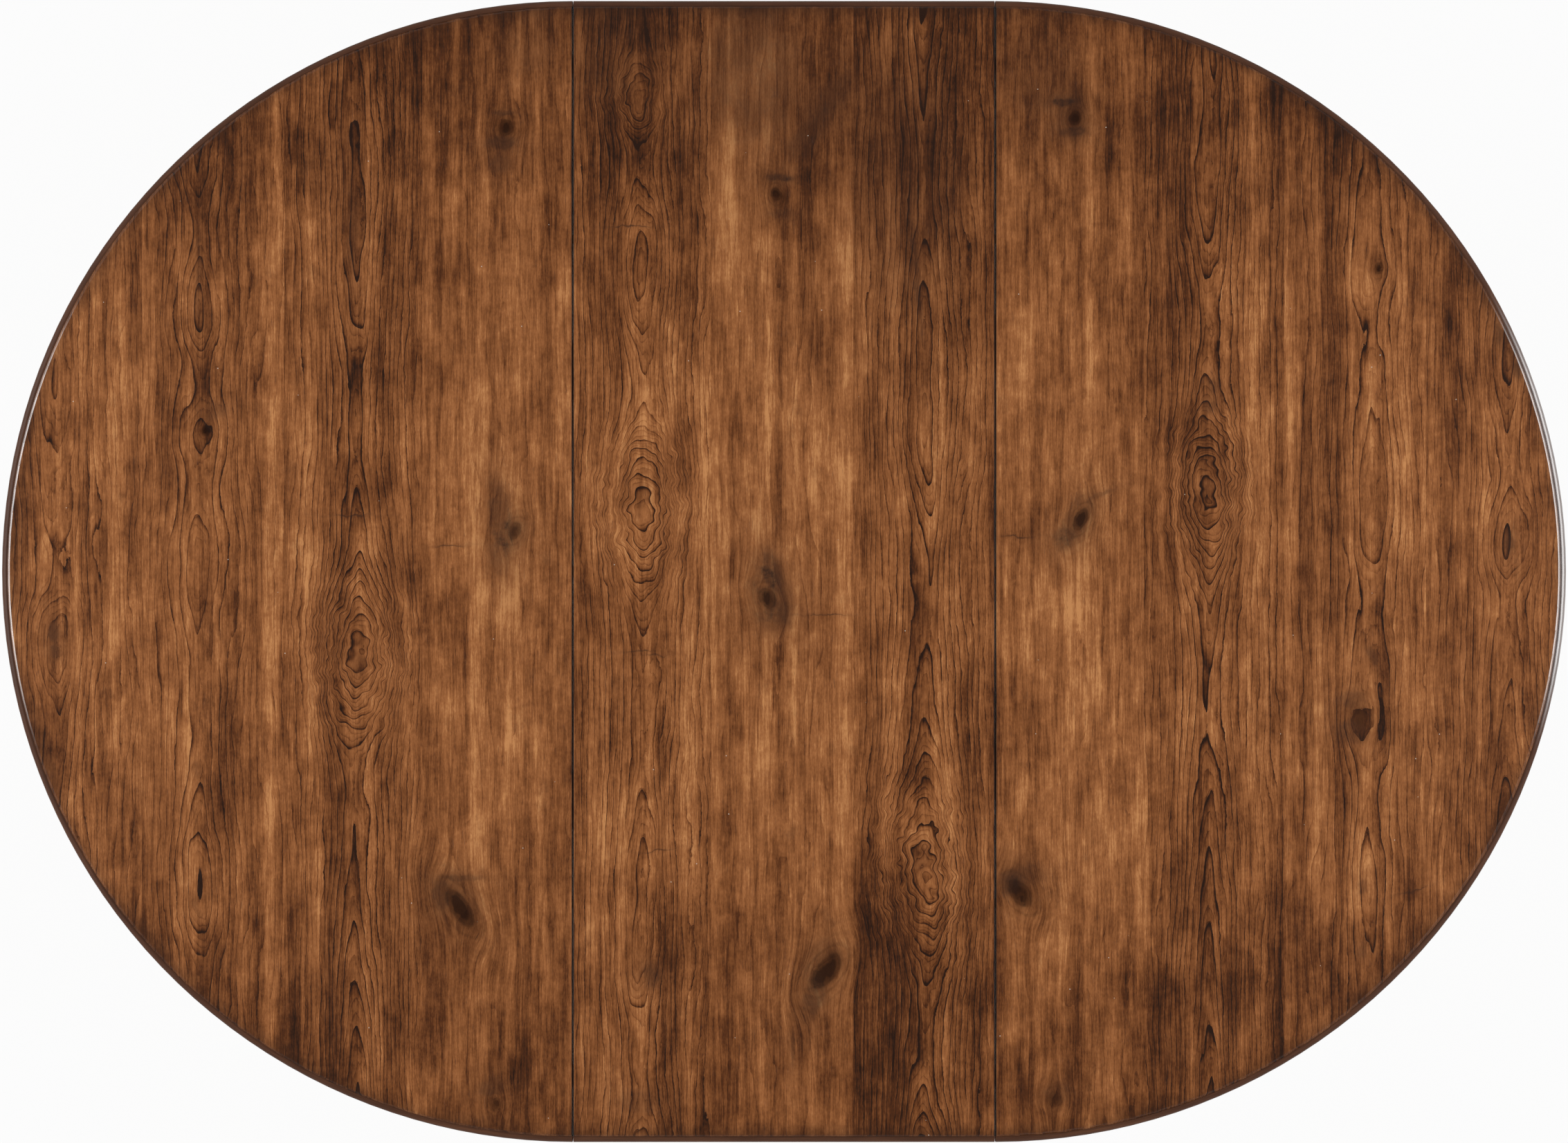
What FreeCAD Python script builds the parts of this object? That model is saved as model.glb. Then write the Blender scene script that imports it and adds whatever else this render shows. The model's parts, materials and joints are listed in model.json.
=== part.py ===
import FreeCAD, Part
import math
import os

# Pedestal dining table with one drop-in leaf, in millimetres, +Z up. The origin is on the floor under
# the column. The two half-round tops open along X on geared wooden slides. The leaf is in place, and
# its locks are open.

# Whole table
TABLE_HEIGHT = 762.0
TOP_RADIUS = 609.6
TOP_THICKNESS = 25.0
LEAF_WIDTH = 450.0
SEAM_GAP = 0.8
SEAM_EASE = 0.9  # chamfer on the boards' upper edges along a seam
EXTRA_OPENING = 25.0  # each half opens this much further, to free the leaf
OVERRUN = 5.0  # cutting tools reach this far past the stock

# Moulded edge: a quirk under the panel's rounded arris, a bead, and a rounded lower corner
MOULDING_WIDTH = 6.5
ARRIS_ROUND = 3.0
QUIRK_DEPTH = 3.0
QUIRK_WIDTH = 1.3
LOWER_ROUND = 5.0
EDGE_PIECE_COUNT = 6  # pieces glued end to end round a half

# Apron with a beaded lower edge, and the glue blocks behind it
APRON_INSET = 55.0
APRON_THICKNESS = 20.0
APRON_HEIGHT = 64.0
APRON_BEAD = 5.0
APRON_SETBACK = 2.0
BLOCK_LENGTH = 60.0
BLOCK_DEPTH = 22.0
BLOCK_HEIGHT = 40.0
BLOCK_COUNT = 5
BLOCK_SPREAD = 140.0  # degrees from the first block to the last on a half
GLUE_LINE = 0.1

# Alignment pins across the seams
PIN_SPACING = 355.0
PIN_RADIUS = 5.0
PIN_SEAT = 25.0
PIN_REACH = 12.0  # into the board across the seam
PIN_TAPER = 2.0
PIN_CLEARANCE = 0.25

# Slide rails
SLIDE_SPACING = 460.0
RAIL_LENGTH = 640.0
RAIL_HEIGHT = 50.0
CENTRE_RAIL_WIDTH = 30.0
MOVING_RAIL_WIDTH = 30.0
RAIL_CLIP = 22.0
TOP_CLEARANCE = 1.0
BEARER_CLEARANCE = 2.0
SLIDE_CLEARANCE = 0.4
DOVETAIL_RISE = 15.0  # middle of the dovetail above the centre rail's underside
DOVETAIL_NECK = 10.0
DOVETAIL_FLARE = 14.0
DOVETAIL_DEPTH = 8.0

# Rack and pinion between the rails
PINION_TEETH = 18
PRESSURE_ANGLE = math.radians(20.0)
BACKLASH = 0.25
PINION_THICKNESS = 10.0
PINION_RISE = 34.0  # middle of the pinion above the centre rail's underside
PINION_PLAY = 0.3
RACK_RECESS = 0.6
RACK_HEIGHT = 12.0
RACK_BACKING = 3.5
RACK_END = 8.0
STOP_PLAY = 0.5
AXLE_RADIUS = 4.0
AXLE_CLEARANCE = 0.05
AXLE_SEAT = 15.0

# Screws that hold the moving rails to the tops and the centre rails to the bearers
SCREW_RADIUS = 2.5
SCREW_HEAD_RADIUS = 5.0
SCREW_HEAD_HEIGHT = 3.5
SCREW_LENGTH = 40.0
SCREW_BITE = 15.0
SCREW_PLACE_SHARES = (0.12, 0.5, 0.88)  # along the rail's bearing on its top
BEARER_SCREW_SPACING = 34.0

# Bearers and the mounting plate on the column
BEARER_SPACING = 260.0
BEARER_WIDTH = 60.0
BEARER_HEIGHT = 25.0
BEARER_OVERHANG = 20.0
BEARER_CLIP = 12.0
PLATE_LENGTH = 360.0
PLATE_WIDTH = 300.0
PLATE_THICKNESS = 22.0
PLATE_CORNER = 24.0
BOLT_RADIUS = 4.0
BOLT_HEAD_WIDTH = 13.0
BOLT_HEAD_HEIGHT = 5.5
BOLT_SPACING = 176.0
NUT_HEIGHT = 6.5
NUT_PROUD = 4.0
LAG_CIRCLE = 52.0
LAG_BITE = 60.0

# Turned column with a flatted hub for the legs
HUB_RADIUS = 82.0
HUB_BOTTOM = 98.0
HUB_HEIGHT = 200.0
HUB_ROUND = 8.0
CORE_WIDTH = 76.0
CORE_ROOF = 20.0
RING_RADIUS = 66.0
RING_HEIGHT = 16.0
VASE_RADIUS = 88.0
VASE_HEIGHT = 222.0
VASE_OUTLINE_SHARES = ((0.0, 0.58), (0.12, 0.82), (0.31, 1.0), (0.55, 0.79), (0.8, 0.52), (1.0, 0.44))
COLLAR_BEAD = 7.0
COLLAR_FILLET = 4.0
CAPITAL_RADIUS = 76.0
CAPITAL_LIP = 6.0
CAPITAL_HEIGHT = 22.0

# Turned drop that closes the hub's core
DROP_RADIUS = 62.0
DROP_BEAD = 7.0
DROP_STEM = 17.0
DROP_BALL = 20.0
DROP_HEIGHT = 58.0
DROP_TENON = 14.0
TENON_CLEARANCE = 0.3

# Sabre legs, their bolts and glides
LEG_COUNT = 4
LEG_REACH = 452.0  # toe tip from the column's axis
LEG_THICKNESS = 62.0
LEG_TOE_THICKNESS = 46.0
LEG_ROUND = 7.0
LEG_ROOT_BOTTOM = 112.0
LEG_ROOT_TOP = 284.0
SEAT_MARGIN = 2.0
LEG_UPPER_SHARES = (
    (0.0, 1.0), (0.15, 0.985), (0.42, 0.66), (0.68, 0.3),
    (0.86, 0.165), (0.95, 0.175), (1.0, 0.09), (0.965, 0.0),
)
LEG_LOWER_SHARES = ((0.83, 0.0), (0.8, 0.06), (0.62, 0.16), (0.4, 0.36), (0.2, 0.45))
GLIDE_SHARE = 0.895
LEG_BOLT_SHARES = (0.3, 0.75)  # up the root
LEG_BOLT_BITE = 55.0
WASHER_RADIUS = 11.0
WASHER_THICKNESS = 2.0
GLIDE_RADIUS = 13.0
GLIDE_THICKNESS = 6.0
GLIDE_CROWN = 2.0
GLIDE_NAIL_RADIUS = 1.5
GLIDE_NAIL_LENGTH = 16.0

# Leaf locks: a lever on one side of a seam hooks over a pin on the other side
LOCK_PLACE_SHARE = 0.55  # of the way from the rails to the aprons
LOCK_EDGE = 7.0
LOCK_PLATE_LENGTH = 58.0
LOCK_PLATE_WIDTH = 26.0
LOCK_SHEET = 2.0
LOCK_CORNER = 4.0
LEVER_SHEET = 3.0
LEVER_GAP = 0.3
LEVER_WIDTH = 18.0
LEVER_LIP = 6.0
LEVER_TAIL = 30.0
LEVER_TAB = 10.0
PIVOT_SETBACK = 30.0
PIVOT_RADIUS = 4.0
PIVOT_HEAD_RADIUS = 7.0
PIVOT_HEAD_HEIGHT = 1.6
PIVOT_CLEARANCE = 0.05
KEEPER_LENGTH = 30.0
KEEPER_PIN_RADIUS = 3.0
KEEPER_PIN_SETBACK = 18.0
HOOK_CLEARANCE = 0.4

# Places that follow from the sizes above
UNDERSIDE = TABLE_HEIGHT - TOP_THICKNESS
LEAF_EDGE = LEAF_WIDTH / 2
SEAM = LEAF_EDGE + SEAM_GAP
SEAM_MIDDLE = LEAF_EDGE + SEAM_GAP / 2
PANEL_RADIUS = TOP_RADIUS - MOULDING_WIDTH
APRON_OUTER = TOP_RADIUS - APRON_INSET
APRON_INNER = APRON_OUTER - APRON_THICKNESS
RAIL_TOP = UNDERSIDE - TOP_CLEARANCE
RAIL_BOTTOM = RAIL_TOP - RAIL_HEIGHT
MOVING_RAIL_BOTTOM = RAIL_BOTTOM + BEARER_CLEARANCE
BEARER_BOTTOM = RAIL_BOTTOM - BEARER_HEIGHT
COLUMN_TOP = BEARER_BOTTOM - PLATE_THICKNESS
HUB_TOP = HUB_BOTTOM + HUB_HEIGHT
HUB_FLAT = math.sqrt(HUB_RADIUS ** 2 - (LEG_THICKNESS / 2 + SEAT_MARGIN) ** 2)
SLIDE_Y = SLIDE_SPACING / 2
RAIL_FACE = CENTRE_RAIL_WIDTH / 2
MOVING_FACE = RAIL_FACE + SLIDE_CLEARANCE
MOVING_BACK = MOVING_FACE + MOVING_RAIL_WIDTH
RACK_TIP = MOVING_FACE + RACK_RECESS
GEAR_MODULE = RACK_TIP / (PINION_TEETH / 2 - 1)
PITCH_RADIUS = GEAR_MODULE * PINION_TEETH / 2
TIP_RADIUS = PITCH_RADIUS + GEAR_MODULE
DEDENDUM_SHARE = 1.25
ROOT_RADIUS = PITCH_RADIUS - DEDENDUM_SHARE * GEAR_MODULE
RACK_ROOT = PITCH_RADIUS + DEDENDUM_SHARE * GEAR_MODULE
RACK_BACK = RACK_ROOT + RACK_BACKING
MESH_REACH = math.sqrt(TIP_RADIUS ** 2 - RACK_TIP ** 2)
RACK_OPEN_STOP = -(EXTRA_OPENING + MESH_REACH + STOP_PLAY)
RACK_CLOSED_STOP = SEAM_MIDDLE + MESH_REACH + STOP_PLAY
PINION_MIDDLE = RAIL_BOTTOM + PINION_RISE
SLIDE_BACK = SLIDE_Y + MOVING_BACK
LOCK_Y = SLIDE_BACK + LOCK_PLACE_SHARE * (APRON_INNER - SLIDE_BACK)
LEVER_TOP = UNDERSIDE - LOCK_SHEET - LEVER_GAP
HOOK_RADIUS = PIVOT_SETBACK + KEEPER_PIN_SETBACK

V = FreeCAD.Vector
ORIGIN = V(0, 0, 0)
X_AXIS = V(1, 0, 0)
Y_AXIS = V(0, 1, 0)
Z_AXIS = V(0, 0, 1)
HALF_TURN = 180
QUARTER_TURN = 90
FULL_TURN = 360
DIAGONAL = math.sqrt(0.5)
HEXAGON_SIDES = 6


def outline_face(start, *moves):
    """A face inside lines (an end point), arcs (a tuple: on the way, end) and splines (a list of points)."""
    edges = []
    here = start
    for move in moves:
        if isinstance(move, tuple):
            via, there = move
            edges.append(Part.Arc(here, via, there).toShape())
        elif isinstance(move, list):
            there = move[-1]
            edges.append(spline_edge([here] + move))
        else:
            there = move
            edges.append(Part.makeLine(here, there))
        here = there
    return Part.Face(Part.Wire(edges))


def polygon_face(points):
    """A flat face inside a closed row of points."""
    return Part.Face(Part.makePolygon(points + points[:1]))


def round_corner(corner_out, corner_up, radius, towards_up):
    """Middle point of a quarter round in the XZ plane, with its arc's end points left to the caller."""
    centre_out = corner_out - radius
    centre_up = corner_up + radius if towards_up else corner_up - radius
    rise = -radius * DIAGONAL if towards_up else radius * DIAGONAL
    return V(centre_out + radius * DIAGONAL, 0, centre_up + rise)


def cove_point(inner, outer, foot, top):
    """Middle point of a cove in the XZ plane that rises from an inner radius and turns outwards."""
    return V(inner + (outer - inner) * (1 - DIAGONAL), 0, foot + (top - foot) * DIAGONAL)


def spline_edge(points):
    """A smooth edge through the points."""
    curve = Part.BSplineCurve()
    curve.interpolate(points)
    return curve.toShape()


def box(x0, x1, y0, y1, z0, z1):
    """A box between two opposite corners."""
    return Part.makeBox(x1 - x0, y1 - y0, z1 - z0, V(x0, y0, z0))


def turned(shape, degrees, centre=ORIGIN):
    """A copy turned about a vertical axis."""
    copy = shape.copy()
    copy.rotate(centre, Z_AXIS, degrees)
    return copy


def moved(shape, x=0, y=0, z=0):
    """A copy moved along the axes."""
    copy = shape.copy()
    copy.translate(V(x, y, z))
    return copy


def half_round(section, seam_x):
    """A half turn of an XZ section about the vertical axis of the right half's round edge."""
    start = turned(section, -QUARTER_TURN)
    return moved(start.revolve(ORIGIN, Z_AXIS, HALF_TURN), x=seam_x)


def glued_half_round(section, seam_x):
    """A half turn like half_round's, glued up from equal pieces."""
    step = HALF_TURN / EDGE_PIECE_COUNT
    starts = [turned(section, step * i - QUARTER_TURN) for i in range(EDGE_PIECE_COUNT)]
    pieces = [start.revolve(ORIGIN, Z_AXIS, step) for start in starts]
    return moved(pieces[0].fuse(pieces[1:]), x=seam_x)


def along_leaf(section):
    """An XZ section carried along the back end of the leaf, with its outside towards +Y."""
    start = moved(turned(section, QUARTER_TURN), x=-LEAF_EDGE)
    return start.extrude(V(LEAF_WIDTH, 0, 0))


def polar(radius, angle, z):
    """A point by its radius and angle about the vertical axis."""
    return V(radius * math.cos(angle), radius * math.sin(angle), z)


def hexagon(width, height):
    """A hexagonal prism on the XY plane, measured across its flats."""
    corner = width / 2 / math.cos(math.pi / HEXAGON_SIDES)
    step = math.tau / HEXAGON_SIDES
    points = [polar(corner, step * i, 0) for i in range(HEXAGON_SIDES)]
    return polygon_face(points).extrude(V(0, 0, height))


def panel_section():
    """Section of a half-round panel from its centre to its rounded arris."""
    shoulder = PANEL_RADIUS - ARRIS_ROUND
    return outline_face(
        V(0, 0, UNDERSIDE),
        V(PANEL_RADIUS, 0, UNDERSIDE),
        V(PANEL_RADIUS, 0, TABLE_HEIGHT - ARRIS_ROUND),
        (round_corner(PANEL_RADIUS, TABLE_HEIGHT, ARRIS_ROUND, False), V(shoulder, 0, TABLE_HEIGHT)),
        V(0, 0, TABLE_HEIGHT),
        V(0, 0, UNDERSIDE),
    )


def moulding_section():
    """Section of the solid moulded edge: quirk, bead, plain edge and rounded lower corner."""
    shelf = TABLE_HEIGHT - QUIRK_DEPTH
    bead = MOULDING_WIDTH - QUIRK_WIDTH
    return outline_face(
        V(PANEL_RADIUS, 0, UNDERSIDE),
        V(TOP_RADIUS - LOWER_ROUND, 0, UNDERSIDE),
        (round_corner(TOP_RADIUS, UNDERSIDE, LOWER_ROUND, True), V(TOP_RADIUS, 0, UNDERSIDE + LOWER_ROUND)),
        V(TOP_RADIUS, 0, shelf - bead),
        (round_corner(TOP_RADIUS, shelf, bead, False), V(TOP_RADIUS - bead, 0, shelf)),
        V(PANEL_RADIUS, 0, shelf),
        V(PANEL_RADIUS, 0, UNDERSIDE),
    )


def apron_section():
    """Section of the apron, with a bead along its lower edge and its face set back above the bead."""
    foot = UNDERSIDE - APRON_HEIGHT
    bead_centre = APRON_OUTER - APRON_BEAD
    bead_top = foot + APRON_BEAD + APRON_BEAD
    face = APRON_OUTER - APRON_SETBACK
    return outline_face(
        V(APRON_INNER, 0, foot),
        V(bead_centre, 0, foot),
        (V(APRON_OUTER, 0, foot + APRON_BEAD), V(bead_centre, 0, bead_top)),
        V(face, 0, bead_top),
        V(face, 0, UNDERSIDE),
        V(APRON_INNER, 0, UNDERSIDE),
        V(APRON_INNER, 0, foot),
    )


def alignment_pins(edge_x):
    """Pins seated in the board left of edge_x, with tapered ends that cross the seam."""
    seat = edge_x - PIN_SEAT
    plain = PIN_SEAT + SEAM_GAP + PIN_REACH - PIN_TAPER
    middle = UNDERSIDE + TOP_THICKNESS / 2
    pins = []
    for y in (-PIN_SPACING, 0, PIN_SPACING):
        body = Part.makeCylinder(PIN_RADIUS, plain, V(seat, y, middle), X_AXIS)
        tip_foot = V(seat + plain, y, middle)
        tip = Part.makeCone(PIN_RADIUS, PIN_RADIUS - PIN_TAPER, PIN_TAPER, tip_foot, X_AXIS)
        pins.append(body.fuse(tip).removeSplitter())
    return Part.makeCompound(pins)


def pin_holes(edge_x):
    """Clearance holes for the pins in the board right of edge_x."""
    middle = UNDERSIDE + TOP_THICKNESS / 2
    depth = PIN_REACH + PIN_TAPER + OVERRUN
    start = edge_x - OVERRUN
    return Part.makeCompound([
        Part.makeCylinder(PIN_RADIUS + PIN_CLEARANCE, depth, V(start, y, middle), X_AXIS)
        for y in (-PIN_SPACING, 0, PIN_SPACING)
    ])


def seam_groove(seam_x):
    """The V that the eased edges of two boards make along a seam."""
    depth = SEAM_GAP / 2 + SEAM_EASE
    rise = TABLE_HEIGHT + OVERRUN
    reach = depth + OVERRUN
    section = polygon_face([
        V(seam_x, -TOP_RADIUS, TABLE_HEIGHT - depth),
        V(seam_x + reach, -TOP_RADIUS, rise),
        V(seam_x - reach, -TOP_RADIUS, rise),
    ])
    return section.extrude(V(0, TOP_RADIUS + TOP_RADIUS, 0))


def leaf_board():
    """The leaf's panel, with the same rounded arris along both ends, and eased along both seams."""
    board = box(-LEAF_EDGE, LEAF_EDGE, -PANEL_RADIUS, PANEL_RADIUS, UNDERSIDE, TABLE_HEIGHT)
    ends = [edge for edge in board.Edges
            if abs(edge.CenterOfMass.x) < SEAM_GAP and edge.CenterOfMass.z > UNDERSIDE + TOP_THICKNESS / 2]
    return board.makeFillet(ARRIS_ROUND, ends).cut(seam_groove(SEAM_MIDDLE)).cut(seam_groove(-SEAM_MIDDLE))


def half_apron_blocks():
    """Glue blocks behind the right half's curved apron, shaped to its inner face."""
    seat = APRON_INNER - GLUE_LINE
    block = box(seat - BLOCK_DEPTH, APRON_INNER, -BLOCK_LENGTH / 2, BLOCK_LENGTH / 2,
                UNDERSIDE - BLOCK_HEIGHT, UNDERSIDE)
    block = block.common(Part.makeCylinder(seat, BLOCK_HEIGHT, V(0, 0, UNDERSIDE - BLOCK_HEIGHT)))
    step = BLOCK_SPREAD / (BLOCK_COUNT - 1)
    return Part.makeCompound([
        moved(turned(block, step * i - BLOCK_SPREAD / 2), x=SEAM) for i in range(BLOCK_COUNT)
    ])


def leaf_apron_blocks():
    """Two glue blocks behind each of the leaf's straight aprons."""
    blocks = []
    for x in (-LEAF_EDGE / 2, LEAF_EDGE / 2):
        back = box(x - BLOCK_LENGTH / 2, x + BLOCK_LENGTH / 2, APRON_INNER - BLOCK_DEPTH, APRON_INNER,
                   UNDERSIDE - BLOCK_HEIGHT, UNDERSIDE)
        blocks += [back, turned(back, HALF_TURN)]
    return Part.makeCompound(blocks)


def dovetail_half_height(depth, clearance):
    """Half the dovetail's height at a depth into the centre rail's side."""
    slope = (DOVETAIL_FLARE - DOVETAIL_NECK) / DOVETAIL_DEPTH / 2
    return DOVETAIL_NECK / 2 + slope * depth + clearance


def centre_rail():
    """Fixed rail with a dovetail groove in both sides, and the mortise and bore for pinion and axle."""
    middle = RAIL_BOTTOM + DOVETAIL_RISE
    groove = DOVETAIL_DEPTH + SLIDE_CLEARANCE
    neck = dovetail_half_height(0, SLIDE_CLEARANCE)
    flare = dovetail_half_height(groove, SLIDE_CLEARANCE)
    right = [
        (RAIL_FACE, RAIL_BOTTOM),
        (RAIL_FACE, middle - neck),
        (RAIL_FACE - groove, middle - flare),
        (RAIL_FACE - groove, middle + flare),
        (RAIL_FACE, middle + neck),
        (RAIL_FACE, RAIL_TOP),
    ]
    left = [(-y, z) for y, z in reversed(right)]
    start = -RAIL_LENGTH / 2
    rail = polygon_face([V(start, y, z) for y, z in right + left]).extrude(V(RAIL_LENGTH, 0, 0))
    mortise_reach = TIP_RADIUS + SLIDE_CLEARANCE + STOP_PLAY
    mortise_half = PINION_THICKNESS / 2 + PINION_PLAY
    mortise = box(-mortise_reach, mortise_reach, -MOVING_FACE, MOVING_FACE,
                  PINION_MIDDLE - mortise_half, PINION_MIDDLE + mortise_half)
    return rail.cut(mortise).cut(axle())


def axle_foot():
    """Height of the axle's lower end, let into the rail under the mortise."""
    return PINION_MIDDLE - PINION_THICKNESS / 2 - PINION_PLAY - AXLE_SEAT


def axle():
    """Steel axle for the pinion, driven in from the top of the centre rail."""
    return Part.makeCylinder(AXLE_RADIUS, RAIL_TOP - axle_foot(), V(0, 0, axle_foot()))


def moving_rail():
    """Right rail, on the +Y side of the centre rail: tongue, seat for the rack and clipped outer end."""
    middle = RAIL_BOTTOM + DOVETAIL_RISE
    neck = dovetail_half_height(-SLIDE_CLEARANCE, 0)
    flare = dovetail_half_height(DOVETAIL_DEPTH, 0)
    tip = RAIL_FACE - DOVETAIL_DEPTH
    section = [
        (MOVING_FACE, MOVING_RAIL_BOTTOM),
        (MOVING_BACK, MOVING_RAIL_BOTTOM),
        (MOVING_BACK, UNDERSIDE),
        (MOVING_FACE, UNDERSIDE),
        (MOVING_FACE, middle + neck),
        (tip, middle + flare),
        (tip, middle - flare),
        (MOVING_FACE, middle - neck),
    ]
    start = SEAM_MIDDLE - RAIL_LENGTH / 2
    end = start + RAIL_LENGTH
    rail = polygon_face([V(start, y, z) for y, z in section]).extrude(V(RAIL_LENGTH, 0, 0))
    rack_seat = box(RACK_OPEN_STOP - RACK_END, RACK_CLOSED_STOP + RACK_END, RACK_TIP - OVERRUN, RACK_BACK,
                    PINION_MIDDLE - RACK_HEIGHT / 2, PINION_MIDDLE + RACK_HEIGHT / 2)
    clip = polygon_face([
        V(end - RAIL_CLIP, 0, MOVING_RAIL_BOTTOM),
        V(end, 0, MOVING_RAIL_BOTTOM),
        V(end, 0, MOVING_RAIL_BOTTOM + RAIL_CLIP),
    ]).extrude(V(0, MOVING_BACK, 0))
    return rail.cut(rack_seat).cut(clip)


def rack():
    """Rack let into the right rail's face, with solid ends that stop the pinion."""
    pitch = math.pi * GEAR_MODULE
    pitch_half = pitch / 4 - BACKLASH / 2
    tip_half = pitch_half - GEAR_MODULE * math.tan(PRESSURE_ANGLE)
    root_half = pitch_half + (RACK_ROOT - PITCH_RADIUS) * math.tan(PRESSURE_ANGLE)
    first = math.ceil((RACK_OPEN_STOP + root_half) / pitch)
    last = math.floor((RACK_CLOSED_STOP - root_half) / pitch)
    teeth = []
    for i in range(first, last + 1):
        middle = pitch * i
        teeth += [(middle - root_half, RACK_ROOT), (middle - tip_half, RACK_TIP)]
        teeth += [(middle + tip_half, RACK_TIP), (middle + root_half, RACK_ROOT)]
    open_end = [
        (RACK_OPEN_STOP - RACK_END, RACK_BACK),
        (RACK_OPEN_STOP - RACK_END, RACK_TIP),
        (RACK_OPEN_STOP, RACK_TIP),
        (RACK_OPEN_STOP, RACK_ROOT),
    ]
    closed_end = [
        (RACK_CLOSED_STOP, RACK_ROOT),
        (RACK_CLOSED_STOP, RACK_TIP),
        (RACK_CLOSED_STOP + RACK_END, RACK_TIP),
        (RACK_CLOSED_STOP + RACK_END, RACK_BACK),
    ]
    foot = PINION_MIDDLE - RACK_HEIGHT / 2
    points = [V(x, y, foot) for x, y in open_end + teeth + closed_end]
    return polygon_face(points).extrude(V(0, 0, RACK_HEIGHT))


def pinion():
    """Involute spur gear on the axle, with a gap between teeth facing the rack on either side."""
    base_radius = PITCH_RADIUS * math.cos(PRESSURE_ANGLE)
    tooth_angle = math.tau / PINION_TEETH
    foot = PINION_MIDDLE - PINION_THICKNESS / 2

    def involute(radius):
        slope = math.acos(base_radius / radius)
        return math.tan(slope) - slope

    def half_angle(radius):
        at_pitch = tooth_angle / 4 - BACKLASH / PITCH_RADIUS / 2
        return at_pitch + involute(PITCH_RADIUS) - involute(radius)

    flank = (base_radius, PITCH_RADIUS, TIP_RADIUS)
    moves = []
    for i in range(PINION_TEETH):
        centre = math.pi / 2 + tooth_angle * (i + 1 / 2)
        rising = [polar(r, centre - half_angle(r), foot) for r in flank]
        falling = [polar(r, centre + half_angle(r), foot) for r in reversed(flank)]
        root_half = half_angle(base_radius)
        root_in = polar(ROOT_RADIUS, centre - root_half, foot)
        root_out = polar(ROOT_RADIUS, centre + root_half, foot)
        if i == 0:
            start = root_in
        else:
            moves.append((polar(ROOT_RADIUS, centre - tooth_angle / 2, foot), root_in))
        moves += [rising[0], (rising[1], rising[2]), (polar(TIP_RADIUS, centre, foot), falling[0])]
        moves += [(falling[1], falling[2]), root_out]
    moves.append((polar(ROOT_RADIUS, math.pi / 2, foot), start))
    gear = outline_face(start, *moves).extrude(V(0, 0, PINION_THICKNESS))
    bore = Part.makeCylinder(AXLE_RADIUS + AXLE_CLEARANCE, PINION_THICKNESS, V(0, 0, foot))
    return gear.cut(bore)


def wood_screw(x, y, tip_z):
    """Countersunk screw driven upwards, with its tip at tip_z."""
    head = tip_z - SCREW_LENGTH
    cone = Part.makeCone(SCREW_HEAD_RADIUS, SCREW_RADIUS, SCREW_HEAD_HEIGHT, V(x, y, head))
    shank = Part.makeCylinder(SCREW_RADIUS, SCREW_LENGTH, V(x, y, head))
    return cone.fuse(shank).removeSplitter()


def screw_well(x, y, tip_z, floor_z):
    """Counterbore that lets a screw's head in from below."""
    head = tip_z - SCREW_LENGTH
    well = Part.makeCylinder(SCREW_HEAD_RADIUS, head - floor_z + OVERRUN, V(x, y, floor_z - OVERRUN))
    return well.fuse(wood_screw(x, y, tip_z))


def rail_screw_places():
    """Screws along the right rail's bearing on its top, beside the centre rail's axis."""
    bearing = SEAM_MIDDLE + RAIL_LENGTH / 2 - RAIL_CLIP - SEAM
    y = (RACK_BACK + MOVING_BACK) / 2
    return [(SEAM + share * bearing, y) for share in SCREW_PLACE_SHARES]


def bearer():
    """Cross bearer with clipped lower corners, at the middle of its length."""
    half = SLIDE_BACK + BEARER_OVERHANG
    section = [
        (-half, RAIL_BOTTOM),
        (-half, BEARER_BOTTOM + BEARER_CLIP),
        (-half + BEARER_CLIP, BEARER_BOTTOM),
        (half - BEARER_CLIP, BEARER_BOTTOM),
        (half, BEARER_BOTTOM + BEARER_CLIP),
        (half, RAIL_BOTTOM),
    ]
    start = -BEARER_WIDTH / 2
    return polygon_face([V(start, y, z) for y, z in section]).extrude(V(BEARER_WIDTH, 0, 0))


def mounting_plate():
    """Plate on the column's capital that carries both bearers."""
    plate = box(-PLATE_LENGTH / 2, PLATE_LENGTH / 2, -PLATE_WIDTH / 2, PLATE_WIDTH / 2,
                COLUMN_TOP, BEARER_BOTTOM)
    upright = [edge for edge in plate.Edges if edge.BoundBox.ZLength > PLATE_THICKNESS / 2]
    return plate.makeFillet(PLATE_CORNER, upright)


def bearer_bolt():
    """Hexagon bolt down through a bearer and the plate."""
    shank_foot = COLUMN_TOP - NUT_HEIGHT - NUT_PROUD
    shank = Part.makeCylinder(BOLT_RADIUS, RAIL_BOTTOM - shank_foot, V(0, 0, shank_foot))
    return shank.fuse(moved(hexagon(BOLT_HEAD_WIDTH, BOLT_HEAD_HEIGHT), z=RAIL_BOTTOM)).removeSplitter()


def nut():
    """Hexagon nut on the XY plane."""
    hole = Part.makeCylinder(BOLT_RADIUS, NUT_HEIGHT, ORIGIN)
    return hexagon(BOLT_HEAD_WIDTH, NUT_HEIGHT).cut(hole)


def lag_screw():
    """Hexagon lag screw down through the plate into the column's capital."""
    tip = COLUMN_TOP - LAG_BITE
    shank = Part.makeCylinder(BOLT_RADIUS, BEARER_BOTTOM - tip, V(0, 0, tip))
    return shank.fuse(moved(hexagon(BOLT_HEAD_WIDTH, BOLT_HEAD_HEIGHT), z=BEARER_BOTTOM)).removeSplitter()


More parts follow.
